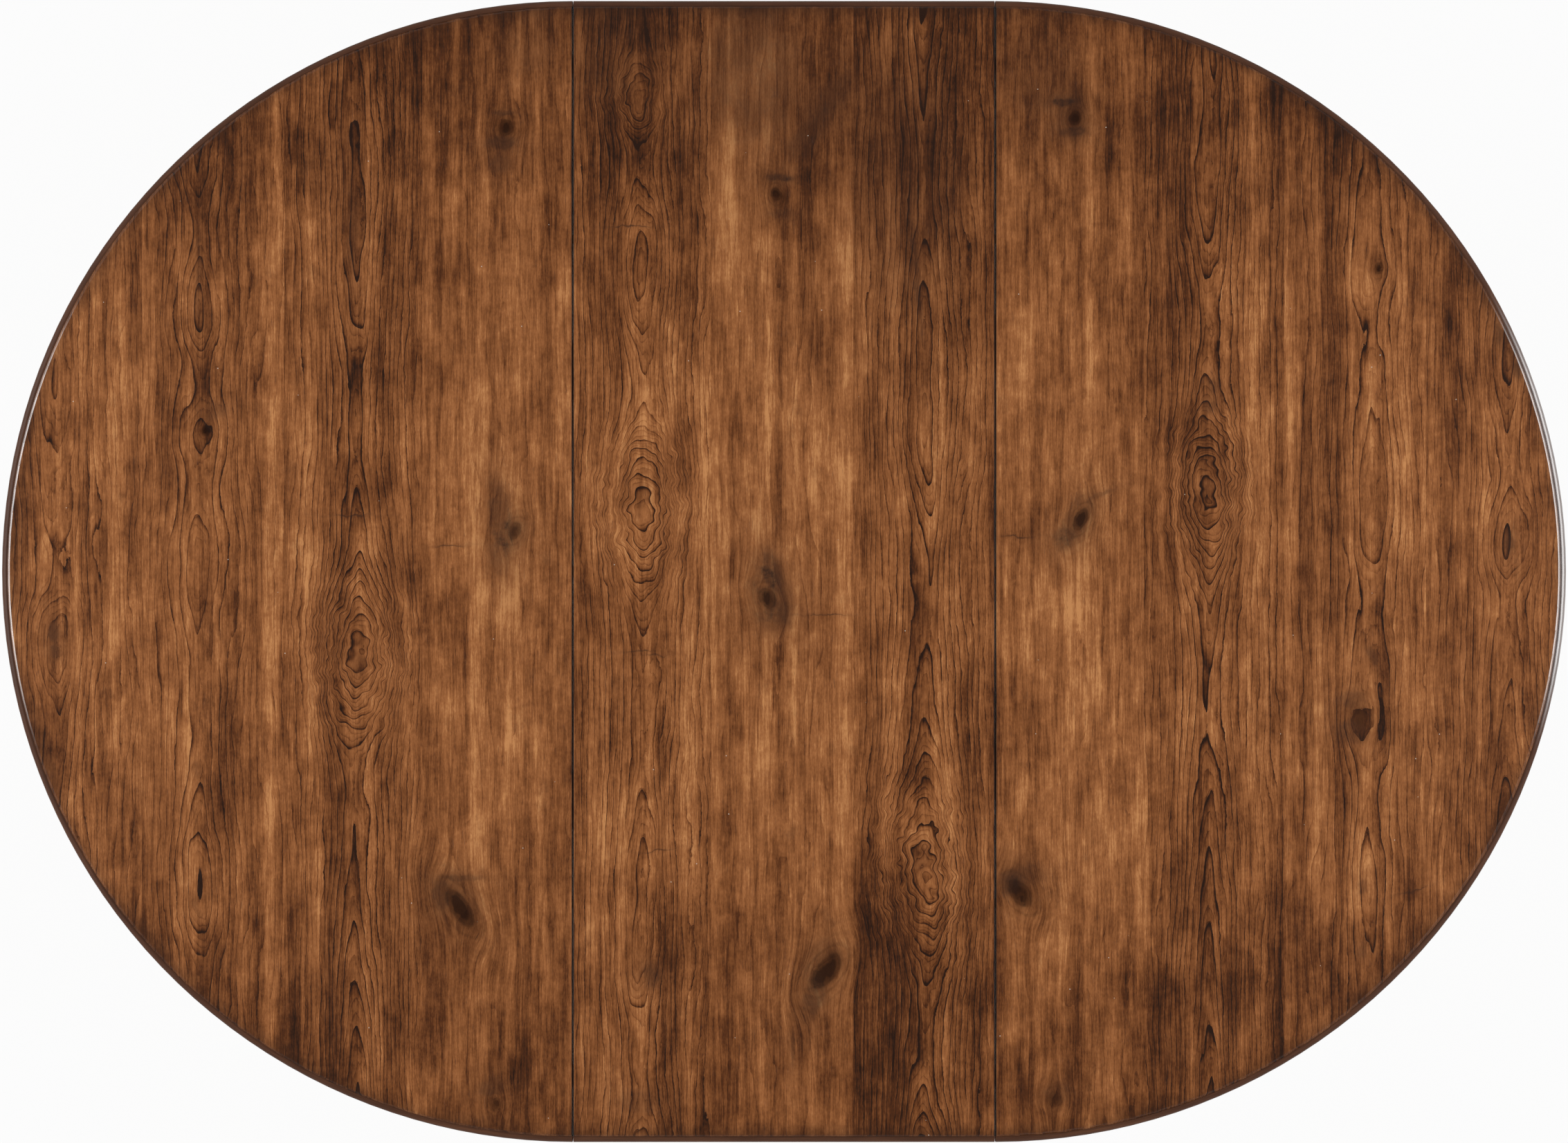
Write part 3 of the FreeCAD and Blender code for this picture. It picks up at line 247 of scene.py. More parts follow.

# Glaze at the rim, painted shade towards the ends and along the seams, specks, and the polished arris and
# bead
RIM_WIDTH = 0.026
RIM_FULL = 0.002
RIM_UNEVEN = 0.016
# Painted shade: the top darker towards the back and front, where the light falls off
PAINTED_END_SHADE = 0.25
PAINTED_END_SHADE_SHARES = (
    (0.0, 0.0), (0.12, 0.2), (0.2, 0.65), (0.32, 0.9), (0.55, 1.0), (0.7, 0.95), (0.86, 0.42), (1.0, 0.2),
)
SEAM_SHADE_WIDTH = 0.0016
SPECK_CELL = 0.03
SPECK_RADIUS = 0.0006
ARRIS = 0.0032
ARRIS_FULL_SHARE = 0.7
BEAD_FOOT = 0.0068
BEAD_CROWN = 0.0055
POLISH_MIDDLE = 0.055
POLISH_REACH = 0.25
POLISH_FULL = 0.12
COAT_ROUGHNESS = 0.26
COAT_IOR = 3.0
LEFT_POLISH_SHARE = 0.04
RIGHT_POLISH_SHARE = 1.0

# Kinds of cut, by the width of a growth ring and how strong its line is
Kind = namedtuple("Kind", "ring lines_share")
KNOTTY = Kind(0.013, 0.25)
CATHEDRAL = Kind(0.0066, 0.95)
QUIET = Kind(0.0085, 0.7)
WAVY = Kind(0.0078, 0.8)

# Strips of veneer, from left to right. A strip ends at a share of the table's half length. Its figure is
# centred at a share of its half width from its middle, and crests (shares of the way from back to front,
# rings) say how far the figure swells there. A mark is at a share of the strip's half width and a share of
# the way to the front, with its half sizes, its tilt in radians and how dark it is. An eye is placed like
# a mark, and a number of rings close round it.
Strip = namedtuple("Strip", "end_share kind axis_share tone crests eyes knots marks", defaults=((), (), ()))
Eye = namedtuple("Eye", "side_share way_share width height tilt rings")
Mark = namedtuple("Mark", "side_share way_share width height tilt dark_share")
CRACK = 0.0007

LEFT_STRIPS = (
    Strip(
        -0.82, WAVY, -0.27, 0.02,
        crests=(
            (0.0, 1.2), (0.3, 2.2), (0.42, 0.8), (0.5, 0.5), (0.56, 2.6), (0.64, 0.6), (0.8, 1.8),
            (1.0, 0.5),
        ),
        marks=(
            Mark(-0.25, 0.553, 0.006, 0.012, 0.0, 0.6),
            Mark(-0.23, 0.571, 0.005, 0.008, 0.0, 0.5),
        ),
    ),
    Strip(
        -0.639, QUIET, -0.19, 0.01,
        crests=(
            (0.0, 3.0), (0.15, 2.0), (0.2, 0.8), (0.27, 1.9), (0.33, 0.4), (0.378, 1.3), (0.42, 0.5),
            (0.49, 1.7), (0.58, 0.4), (0.72, 2.0), (0.774, 3.2), (0.86, 0.6), (1.0, 1.0),
        ),
        knots=(
            Mark(-0.1, 0.377, 0.0038, 0.0045, 0.0, 0.8),
        ),
        marks=(
            Mark(-0.2, 0.23, 0.002, 0.04, 0.0, 0.4),
            Mark(0.05, 0.36, 0.012, 0.008, 0.2, 0.35),
        ),
    ),
    Strip(
        -0.462, CATHEDRAL, 0.05, -0.02,
        crests=(
            (0.0, 0.5), (0.188, 2.4), (0.36, 0.3), (0.46, 1.0), (0.583, 2.4), (0.673, 0.5), (0.72, 1.0),
            (0.86, 3.0), (1.0, 5.5),
        ),
        eyes=(
            Eye(0.08, 0.575, 0.036, 0.07, 0.0, 5.0),
        ),
        marks=(
            Mark(-0.03, 0.451, 0.016, CRACK, 0.0, 0.7),
            Mark(0.09, 0.583, 0.008, 0.012, 0.0, 0.15),
            Mark(0.0, 0.2, 0.006, 0.05, 0.0, 0.3),
        ),
    ),
    Strip(
        None, KNOTTY, 0.1, 0.04,
        crests=((0.0, 0.4), (0.5, 0.8), (1.0, 0.3)),
        knots=(
            Mark(0.114, 0.1117, 0.006, 0.0075, -0.3, 0.85),
            Mark(0.233, 0.4643, 0.005, 0.008, -0.45, 0.75),
            Mark(-0.501, 0.7944, 0.0085, 0.019, 0.62, 0.95),
            Mark(-0.015, 0.9667, 0.005, 0.006, 0.0, 0.55),
        ),
        marks=(
            Mark(0.095, 0.0984, 0.012, 0.0025, 0.0, 0.45),
            Mark(0.081, 0.1247, 0.015, 0.0065, 0.0, 0.55),
            Mark(0.049, 0.1429, 0.011, 0.01, 0.0, 0.4),
            Mark(0.05, 0.452, 0.011, 0.04, 0.1, 0.5),
            Mark(0.22, 0.466, 0.016, 0.02, -0.3, 0.3),
            Mark(0.05, 0.487, 0.009, 0.02, 0.1, 0.3),
            Mark(-0.753, 0.7833, 0.009, 0.014, 0.0, 0.5),
            Mark(-0.45, 0.768, 0.022, 0.003, 0.0, 0.4),
            Mark(-0.5, 0.788, 0.024, 0.028, 0.4, 0.25),
            Mark(-0.071, 0.951, 0.015, 0.01, 0.3, 0.45),
            Mark(-0.65, 0.478, 0.014, CRACK, 0.05, 0.7),
            Mark(0.4, 0.03, 0.03, 0.04, 0.0, 0.3),
        ),
    ),
)
LEAF_STRIPS = (
    Strip(
        -0.0934, CATHEDRAL, -0.02, 0.04,
        crests=(
            (0.0, 0.8), (0.086, 1.6), (0.14, 1.0), (0.23, 3.0), (0.35, 0.7), (0.43, 2.4), (0.58, 0.5),
            (0.7, 1.2), (0.82, 2.6), (0.93, 0.6), (1.0, 1.5),
        ),
        eyes=(
            Eye(-0.1, 0.085, 0.02, 0.034, 0.0, 2.6),
            Eye(0.01, 0.445, 0.036, 0.07, 0.0, 5.0),
        ),
        marks=(
            Mark(-0.16, 0.198, 0.018, CRACK, 0.0, 0.7),
            Mark(-0.6, 0.04, 0.05, 0.06, 0.0, 0.3),
            Mark(0.01, 0.43, 0.007, 0.011, 0.0, 0.15),
            Mark(-0.04, 0.57, 0.012, CRACK, 0.0, 0.7),
            Mark(0.21, 0.573, 0.01, CRACK, 0.0, 0.6),
            Mark(0.21, 0.744, 0.016, CRACK, 0.1, 0.6),
            Mark(0.14, 0.853, 0.01, 0.012, 0.0, 0.55),
            Mark(-0.04, 0.964, 0.022, 0.012, 0.0, 0.35),
        ),
    ),
    Strip(
        0.0886, KNOTTY, 0.05, 0.1,
        crests=((0.0, 0.5), (0.5, 0.3), (0.71, 1.2), (1.0, 0.6)),
        knots=(
            Mark(-0.08, 0.1695, 0.0045, 0.006, 0.2, 0.9),
            Mark(-0.207, 0.5233, 0.0068, 0.0095, 0.55, 0.85),
            Mark(0.618, 0.8496, 0.0088, 0.017, -0.68, 0.95),
        ),
        marks=(
            Mark(-0.02, 0.1556, 0.015, 0.0035, 0.0, 0.6),
            Mark(0.0, 0.187, 0.014, 0.006, 0.0, 0.35),
            Mark(0.37, 0.119, 0.032, 0.012, 0.9, 0.3),
            Mark(0.72, 0.083, 0.03, 0.012, 0.9, 0.3),
            Mark(-0.4, 0.06, 0.045, 0.075, 0.0, 0.5),
            Mark(-0.15, 0.5, 0.009, 0.022, 0.2, 0.5),
            Mark(-0.17, 0.517, 0.02, 0.038, 0.2, 0.4),
            Mark(-0.1, 0.54, 0.022, 0.016, 0.3, 0.25),
            Mark(0.65, 0.538, 0.016, CRACK, 0.0, 0.7),
            Mark(0.443, 0.874, 0.011, 0.022, -0.35, 0.6),
            Mark(0.55, 0.84, 0.018, 0.026, -0.5, 0.3),
            Mark(0.15, 0.918, 0.002, 0.02, 0.0, 0.4),
        ),
    ),
    Strip(
        None, CATHEDRAL, 0.02, 0.0,
        crests=(
            (0.0, 1.5), (0.15, 0.6), (0.37, 3.0), (0.5, 0.4), (0.6, 0.8), (0.749, 2.4), (0.83, 0.8),
            (0.88, 0.5), (1.0, 3.0),
        ),
        eyes=(
            Eye(-0.06, 0.76, 0.034, 0.08, 0.1, 5.0),
        ),
        marks=(
            Mark(-0.04, 0.749, 0.008, 0.014, 0.0, 0.15),
            Mark(-0.1, 0.246, 0.003, 0.06, 0.1, 0.4),
            Mark(-0.2, 0.16, 0.06, 0.13, 0.0, 0.3),
        ),
    ),
)
RIGHT_STRIPS = (
    Strip(
        0.4597, KNOTTY, 0.1, 0.05,
        crests=((0.0, 0.4), (0.5, 0.9), (1.0, 0.3)),
        knots=(
            Mark(0.066, 0.1035, 0.005, 0.006, 0.0, 0.95),
            Mark(0.149, 0.4546, 0.0055, 0.0105, -0.5, 0.9),
            Mark(-0.671, 0.7815, 0.0078, 0.0137, 0.65, 0.9),
            Mark(-0.2, 0.962, 0.006, 0.007, 0.0, 0.5),
        ),
        marks=(
            Mark(-0.06, 0.089, 0.012, 0.0045, 0.1, 0.5),
            Mark(0.05, 0.1152, 0.014, 0.005, 0.0, 0.5),
            Mark(0.03, 0.103, 0.02, 0.024, 0.0, 0.3),
            Mark(-0.09, 0.4706, 0.012, 0.011, 0.0, 0.55),
            Mark(0.12, 0.455, 0.015, 0.028, -0.4, 0.4),
            Mark(0.42, 0.4322, 0.015, 0.0025, 0.3, 0.35),
            Mark(-0.81, 0.7724, 0.011, 0.015, 0.0, 0.55),
            Mark(-0.58, 0.766, 0.022, 0.012, 0.1, 0.35),
            Mark(-0.15, 0.955, 0.014, 0.012, 0.2, 0.35),
            Mark(-0.73, 0.469, 0.014, CRACK, 0.0, 0.7),
            Mark(-0.4, 0.06, 0.04, 0.05, 0.0, 0.25),
        ),
    ),
    Strip(
        0.639, CATHEDRAL, -0.08, 0.03,
        crests=(
            (0.0, 1.2), (0.056, 2.3), (0.15, 2.8), (0.3, 0.9), (0.35, 1.0), (0.425, 2.4), (0.54, 0.8),
            (0.59, 0.4), (0.7, 1.5), (0.8, 3.0), (1.0, 5.0),
        ),
        eyes=(
            Eye(-0.12, 0.43, 0.034, 0.072, 0.0, 5.0),
        ),
        marks=(
            Mark(-0.01, 0.338, 0.006, 0.008, 0.0, 0.4),
            Mark(-0.04, 0.357, 0.006, 0.008, 0.0, 0.4),
            Mark(-0.11, 0.425, 0.008, 0.013, 0.0, 0.15),
        ),
    ),
    Strip(
        0.82, QUIET, 0.2, -0.02,
        crests=(
            (0.0, 1.2), (0.12, 0.4), (0.235, 1.4), (0.29, 0.6), (0.4545, 1.8), (0.52, 0.6), (0.628, 1.2),
            (0.7, 0.5), (0.78, 1.6), (0.85, 1.2), (1.0, 0.3),
        ),
        knots=(
            Mark(0.33, 0.235, 0.004, 0.005, 0.0, 0.75),
            Mark(0.073, 0.6283, 0.0063, 0.009, 0.0, 0.5),
        ),
        marks=(
            Mark(-0.048, 0.612, 0.012, 0.01, 0.0, 0.5),
            Mark(-0.048, 0.6408, 0.015, 0.012, 0.0, 0.5),
            Mark(0.24, 0.573, 0.004, 0.012, 0.4, 0.5),
            Mark(0.1, 0.776, 0.005, 0.008, 0.0, 0.4),
            Mark(0.1, 0.832, 0.005, 0.008, 0.0, 0.4),
            Mark(0.81, 0.779, 0.015, CRACK, 0.3, 0.6),
        ),
    ),
    Strip(
        None, WAVY, 0.16, -0.02,
        crests=(
            (0.0, 0.8), (0.2, 0.5), (0.31, 1.9), (0.4, 0.5), (0.475, 2.5), (0.53, 0.6), (0.7, 2.0),
            (0.9, 1.0), (1.0, 1.5),
        ),
        marks=(
            Mark(0.17, 0.475, 0.006, 0.012, 0.0, 0.6),
            Mark(0.02, 0.293, 0.005, 0.01, 0.0, 0.4),
            Mark(0.31, 0.322, 0.005, 0.01, 0.0, 0.4),
        ),
    ),
)

# Flush screws in the lock plates and keepers, with cross recesses
PLATE_WIDTH = 0.026
PLATE_SHEET = 0.002
SCREW_INSET = 0.0062
SCREW_RADIUS = 0.0034
SCREW_PROUD = 0.0002
RECESS_FLOOR = 0.00002
FLAT_SHARE = 0.86
RECESS_REACH_SHARE = 0.55
RECESS_HALF_SHARE = 0.11
RECESS_ARMS = 4
SCREW_SIDES = 32


def paint(colour):
    """A linear RGBA colour from 8-bit sRGB values."""
    def linear(value):
        share = value / 255
        return share / 12.92 if share <= 0.04045 else ((share + 0.055) / 1.055) ** 2.4
    return tuple(linear(value) for value in colour) + (1.0,)


class Field:
    """A number or colour that varies over a surface. Arithmetic on it adds nodes to its graph."""

    def __init__(self, graph, socket):
        self.graph = graph
        self.socket = socket

    def __add__(self, other):
        return self.graph.math("ADD", self, other)

    def __radd__(self, other):
        return self.graph.math("ADD", other, self)

    def __sub__(self, other):
        return self.graph.math("SUBTRACT", self, other)

    def __rsub__(self, other):
        return self.graph.math("SUBTRACT", other, self)

    def __mul__(self, other):
        return self.graph.math("MULTIPLY", self, other)

    def __truediv__(self, other):
        return self.graph.math("DIVIDE", self, other)

    def __pow__(self, other):
        return self.graph.math("POWER", self, other)


Place = namedtuple("Place", "across along up")


class Graph:
    """Nodes of one material. Its methods return fields."""

    def __init__(self, name):
        self.material = bpy.data.materials.new(name)
        self.material.use_nodes = True
        self.tree = self.material.node_tree
        self.tree.nodes.clear()

    def feed(self, socket, value):
        if isinstance(value, Field):
            self.tree.links.new(value.socket, socket)
        else:
            socket.default_value = value

    def node(self, kind, inputs, **settings):
        made = self.tree.nodes.new(kind)
        for key, value in settings.items():
            setattr(made, key, value)
        for key, value in inputs.items():
            self.feed(made.inputs[key], value)
        return made

    def output(self, key, kind, inputs, **settings):
        """One output of a new node."""
        return Field(self, self.node(kind, inputs, **settings).outputs[key])

    def math(self, operation, *values):
        return self.output(0, "ShaderNodeMath", dict(enumerate(values)), operation=operation)

    def bell(self, square, width_share=1.0):
        """1 at zero, falling off as the square grows."""
        return self.math("EXPONENT", square * (-1.0 / width_share))

    def smooth(self, value, low, high):
        """0 to 1 as the value goes from low to high."""
        inputs = {"Value": value, "From Min": low, "From Max": high}
        return self.output(0, "ShaderNodeMapRange", inputs, interpolation_type="SMOOTHSTEP")

    def vector(self, x, y, z):
        return self.output(0, "ShaderNodeCombineXYZ", {0: x, 1: y, 2: z})

    def place(self):
        """Where a point is on the part, in metres."""
        where = self.output("Object", "ShaderNodeTexCoord", {})
        split = self.node("ShaderNodeSeparateXYZ", {0: where})
        return Place(*(Field(self, socket) for socket in split.outputs))

    def noise(self, place, spots, seed=0.0):
        """Noise about zero, within -1 and 1, in spots drawn out along the grain."""
        vector = self.vector(place.across / spots.width, place.along / spots.length, place.up / spots.width)
        inputs = {"Vector": vector, "W": seed, "Scale": 1.0}
        inputs.update({"Detail": spots.octaves, "Roughness": spots.rough})
        made = self.output("Fac", "ShaderNodeTexNoise", inputs, noise_dimensions="4D")
        return (made - MIDDLE_SHARE) / MIDDLE_SHARE

    def toned(self, place, spots, seed=0.0):
        """Noise, by as much as it changes the tone."""
        return self.noise(place, spots, seed) * spots.tone_share

    def curve(self, value, points):
        """A smooth curve through points whose places and heights are shares."""
        made = self.node("ShaderNodeFloatCurve", {"Value": value})
        line = made.mapping.curves[0]
        for _ in points[2:]:
            line.points.new(MIDDLE_SHARE, MIDDLE_SHARE)
        for point, (where, height) in zip(line.points, points):
            point.location = (where, height)
            point.handle_type = "AUTO_CLAMPED"
        made.mapping.update()
        return Field(self, made.outputs[0])

    def ramp(self, value, stops):
        """A colour from stops of a share and a colour."""
        made = self.node("ShaderNodeValToRGB", {"Fac": value})
        elements = made.color_ramp.elements
        for _ in stops[2:]:
            elements.new(MIDDLE_SHARE)
        for element, (share, colour) in zip(elements, stops):
            element.position = share
            element.color = paint(colour)
        return Field(self, made.outputs[0])

    def mix(self, share, first, second):
        """A colour between two colours."""
        return self.output(2, "ShaderNodeMix", {0: share, 6: first, 7: second}, data_type="RGBA")

    def recess(self, distance):
        """1 in the open, falling towards 0 in grooves and corners of the piece itself, where shade falls.
        """
        inputs = {"Distance": distance}
        settings = {"samples": GROOVE_RAYS, "only_local": True}
        return self.output("AO", "ShaderNodeAmbientOcclusion", inputs, **settings)

    def facing(self, way):
        """1 on faces that look up, for a way of 1, or down, for a way of -1."""
        normal = self.output("Normal", "ShaderNodeNewGeometry", {})
        rise = self.output(2, "ShaderNodeSeparateXYZ", {0: normal})
        return self.math("GREATER_THAN", rise * way, FACING_COSINE)

    def finish(self, colour, roughness, height, depth, **constants):
        """Joins a surface: its bump is depth metres where the height goes from 0 to 1."""
        bump = self.output(0, "ShaderNodeBump", {"Height": height, "Distance": depth, "Strength": 1.0})
        inputs = {"Base Color": colour, "Roughness": roughness, "Normal": bump}
        for key, value in constants.items():
            inputs[key.replace("_", " ").title().replace("Ior", "IOR")] = value
        surface = self.output(0, "ShaderNodeBsdfPrincipled", inputs)
        self.node("ShaderNodeOutputMaterial", {"Surface": surface})
        return self.material


def as_share(noise):
    """Noise about zero, moved to go from 0 to 1."""
    return MIDDLE_SHARE + noise * MIDDLE_SHARE


def at_least(share, field):
    """A field of 0 to 1, raised to go from a share to 1."""
    return share + field * (1.0 - share)


def pick(steps, values):
    """The value of the strip that a point is in."""
    chosen = values[0]
    for step, before, after in zip(steps, values, values[1:]):
        chosen = step * (after - before) + chosen
    return chosen


def strip_middles(strips, left, right):
    """The middle and the half width of each strip."""
    ends = [left] + [strip.end_share * HALF_LENGTH for strip in strips[:-1]] + [right]
    return [((a + b) / 2, (b - a) / 2) for a, b in zip(ends, ends[1:])]


def way_to_front(place):
    """Share of the way from the back of the table to its front."""
    return MIDDLE_SHARE - place.along / WIDTH


def mark_places(strips, middles, kind):
    """Each knot, eye or mark with its X and Y."""
    for strip, (middle, half) in zip(strips, middles):
        for mark in getattr(strip, kind):
            y = HALF_WIDTH - mark.way_share * WIDTH
            yield mark, middle + mark.side_share * half, y


def wavy(graph, place, spots, reach):
    """Places moved about a little, so that outlines drawn on them are uneven."""
    across = place.across + graph.noise(place, spots) * reach
    along = place.along + graph.noise(place, spots, STRIP_SEED) * reach
    return graph.vector(across, along, 0.0)


def oval(graph, where, mark, x, y):
    """Square of the distance from a mark's middle, in its half sizes."""
    vector = graph.output(0, "ShaderNodeMapping", {
        "Vector": where, "Location": (x, y, 0.0), "Rotation": (0.0, 0.0, mark.tilt),
        "Scale": (mark.width, mark.height, 1.0),
    }, vector_type="TEXTURE")
    return graph.output("Value", "ShaderNodeVectorMath", {0: vector, 1: vector}, operation="DOT_PRODUCT")


def draw_marks(graph, place, strips, middles):
    """Darkness of smudges and cracks."""
    where = wavy(graph, place, WOBBLE, MARK_WOBBLE)
    dark = 0.0
    for mark, x, y in mark_places(strips, middles, "marks"):
        square = oval(graph, where, mark, x, y)
        core = graph.smooth(graph.bell(square), *MARK_CORE_STOPS) * MARK_CORE_SHARE
        halo = graph.bell(square, MARK_REACH) * (1.0 - MARK_CORE_SHARE)
        dark = (core + halo) * mark.dark_share + dark
    return dark


def draw_knots(graph, place, strips, middles):
    """Darkness of knots with the growth lines round them, and how far they push the grain aside."""
    where = wavy(graph, place, WOBBLE, KNOT_WOBBLE)
    dark = 0.0
    push = 0.0
    for knot, x, y in mark_places(strips, middles, "knots"):
        square = oval(graph, where, knot, x, y)
        distance = graph.math("SQRT", square)
        near = graph.bell(square, KNOT_REACH)
        core = graph.smooth(distance, *KNOT_CORE_STOPS)
        waves = graph.math("SINE", distance * KNOT_LINE_RATE)
        lines = graph.smooth(waves, *KNOT_LINE_STOPS) * (1.0 - core)
        dark = (core + near * (lines * KNOT_LINE_SHARE + KNOT_HALO_SHARE)) * knot.dark_share + dark
        push = (place.across - x) * near * KNOT_PUSH_SHARE + push
    return dark, push


def draw_eyes(graph, place, strips, middles):
    """How many rings deep a point is in an eye, and how far eyes push the grain aside."""
    where = wavy(graph, place, EYE_WAVES, EYE_WOBBLE)
    depth = 0.0
    push = 0.0
    for eye, x, y in mark_places(strips, middles, "eyes"):
        near = graph.bell(oval(graph, where, eye, x, y))
        depth = near * eye.rings + depth
        push = (place.across - x) * near * EYE_PUSH_SHARE + push
    return depth, push


def ring_count(graph, side, way, strips, steps):
    """How many rings out from its strip's pith a point is, less where the figure swells."""
    swells = []
    for strip in strips:
        swells.append(graph.curve(way, [(share, rings / CREST_HEIGHT) for share, rings in strip.crests]))
    swell = pick(steps, swells) * CREST_HEIGHT * graph.bell((side / CREST_SPREAD) ** 2.0)
    distance = graph.math("SQRT", side ** 2.0 + PITH ** 2) - PITH
    return distance / pick(steps, [strip.kind.ring for strip in strips]) - swell


def growth_rings(graph, place, strips, middles, steps, seed, eyes):
    """Darkness of the growth rings in a row of strips, which close round the eyes."""
    axis = pick(steps, [middle + strip.axis_share * half for strip, (middle, half) in zip(strips, middles)])
    ripple = graph.noise(place, RIPPLE, seed)
    side = place.across - axis + graph.noise(place, SWAY, seed) * SWAY_REACH + ripple * RIPPLE_REACH
    drift = graph.noise(place, DRIFT, seed) * DRIFT_RINGS
    rings = ring_count(graph, side, way_to_front(place), strips, steps) - eyes + drift
    phase = graph.math("FRACT", rings)
    number = graph.math("FLOOR", rings) + seed
    strength = graph.output("Value", "ShaderNodeTexWhiteNoise", {"W": number}, noise_dimensions="1D")
    late = phase ** LATE_POWER + phase ** EARLY_POWER * EARLY_SHARE
    late = late * at_least(FAINT_RING_SHARE, strength)
    minor = graph.math("FRACT", rings * MINOR_COUNT + ripple) ** MINOR_POWER
    seen = graph.smooth(graph.noise(place, FADING, seed + FADING_SEED), *FADING_STOPS)
    near = graph.bell((side / LINE_SPREAD) ** 2.0)
    lines = pick(steps, [strip.kind.lines_share for strip in strips]) * at_least(FAR_LINE_SHARE, near)
    lines = (late + minor * MINOR_SHARE) * lines * at_least(FADED_SHARE, seen)
    return lines * (1.0 + eyes * EYE_LINE_SHARE)


def specks(graph, place):
    """1 on small pale specks of dust in the finish."""
    inputs = {"Vector": graph.vector(place.across, place.along, 0.0), "Scale": 1 / SPECK_CELL}
    distance = graph.output("Distance", "ShaderNodeTexVoronoi", inputs)
    return graph.math("LESS_THAN", distance, SPECK_RADIUS / SPECK_CELL)


Grain = namedtuple("Grain", "fibres blotches mottle pores")


def veneer_shade(graph, flat, place, seed, grain):
    """How much noise, and painted shade towards the back and front, change a strip's tone."""
    # Painted shade of the light falling off towards the back and front
    ends = (graph.curve(way_to_front(flat), PAINTED_END_SHADE_SHARES) - 1.0) * PAINTED_END_SHADE
    soft = graph.toned(place, BANDS, seed) + graph.toned(place, PATCHES, seed + PATCHES_SEED)
    soft = soft + grain.blotches * BLOTCHES.tone_share + grain.mottle * MOTTLE.tone_share
    fine = graph.toned(place, STREAKS, seed) + grain.fibres * FIBRES.tone_share + graph.toned(flat, GRIT)
    return ends + soft + fine


def uneven(shares, grain):
    """How well each point takes the colour of a knot or mark."""
    return shares.level_share + grain.mottle * shares.mottle_share + grain.fibres * shares.fibres_share


def stain(graph, flat, colour, grain, ink, marks, rim):
    """A colour darkened by knots, marks, the rim, smudges and pores."""
    burnish = graph.smooth(rim + grain.blotches * RIM_UNEVEN, RIM_WIDTH, RIM_FULL)
    smudge = graph.smooth(graph.noise(flat, SMUDGES, STRIP_SEED), *SMUDGE_STOPS)
    glaze = marks * uneven(MARK_UNEVEN, grain) + burnish * RIM_SHARE + smudge * SMUDGE_SHARE
    colour = graph.mix(ink, colour, paint(KNOT_COLOUR))
    colour = graph.mix(graph.math("MINIMUM", glaze, GLAZE_FULL_SHARE), colour, paint(GLAZE_COLOUR))
    return graph.mix(grain.pores * PORE_SHARE, colour, paint(GLAZE_COLOUR))


def trim(graph, flat, colour, grain, seam):
    """A colour with painted shade along the seams, pale specks, and a plain backing on the underside."""
    # Painted shade: the upward faces along each seam darkened to the colour of the gap's shade
    dark = graph.smooth(seam, SEAM_SHADE_WIDTH, 0.0) * graph.facing(1)
    colour = graph.mix(dark, colour, paint(SEAM_SHADE_COLOUR))
    colour = graph.mix(specks(graph, flat) * SPECK_SHARE, colour, paint(SPECK_COLOUR))
    backing = graph.mix(as_share(grain.fibres), paint(BACKING_COLOUR), paint(BASE_STOPS[-1][1]))
    return graph.mix(graph.facing(-1), colour, backing)


def veneer(name, strips, left, right, rim_of, seam_of, coat_of):
    """Satin veneer in strips, with a darkened rim, and a plain backing on the underside."""
    graph = Graph(name)
    flat = graph.place()
    middles = strip_middles(strips, left, right)
    ends = [strip.end_share * HALF_LENGTH for strip in strips[:-1]]
    steps = [graph.math("GREATER_THAN", flat.across, end) for end in ends]
    seed = pick(steps, [STRIP_SEED * i for i in range(len(strips))])
    knots, knot_push = draw_knots(graph, flat, strips, middles)
    eyes, eye_push = draw_eyes(graph, flat, strips, middles)
    place = flat._replace(across=flat.across - knot_push - eye_push)
    rings = growth_rings(graph, place, strips, middles, steps, seed, eyes)
    marks = draw_marks(graph, flat, strips, middles)
    pores = graph.smooth(graph.noise(place, PORES), *PORE_STOPS)
    grain = Grain(graph.noise(place, FIBRES), graph.noise(flat, BLOTCHES), graph.noise(flat, MOTTLE), pores)
    tone = VENEER_TONE + pick(steps, [strip.tone for strip in strips])
    tone = tone + veneer_shade(graph, flat, place, seed, grain) - rings
    rim = rim_of(graph, flat)
    ink = graph.math("MINIMUM", knots * uneven(KNOT_UNEVEN, grain), KNOT_FULL_SHARE)
    colour = stain(graph, flat, graph.ramp(tone, VENEER_STOPS), grain, ink, marks, rim)
    colour = trim(graph, flat, colour, grain, seam_of(graph, flat))
    roughness = VENEER_ROUGHNESS + grain.mottle * MOTTLE_ROUGHNESS + marks * MARK_ROUGHNESS
    height = MIDDLE_SHARE + grain.fibres * FIBRE_DEPTH_SHARE - pores * PORE_DEPTH_SHARE
    height = height - rings * RING_DEPTH_SHARE
    gloss = {"specular_ior_level": VENEER_SPECULAR, **coat_of(graph, flat, rim)}
    return graph.finish(colour, roughness - ink * KNOT_POLISH, height, VENEER_BUMP, **gloss)


def end_share(graph, place):
    """1 at the ends of the table, where hands have polished its edge, falling to 0 along its sides."""
    return graph.smooth(graph.math("ABSOLUTE", place.along - POLISH_MIDDLE), POLISH_REACH, POLISH_FULL)


def coat_with(weight):
    """A polished coat of a weight that varies over the surface."""
    return {"coat_weight": weight, "coat_roughness": COAT_ROUGHNESS, "coat_ior": COAT_IOR}


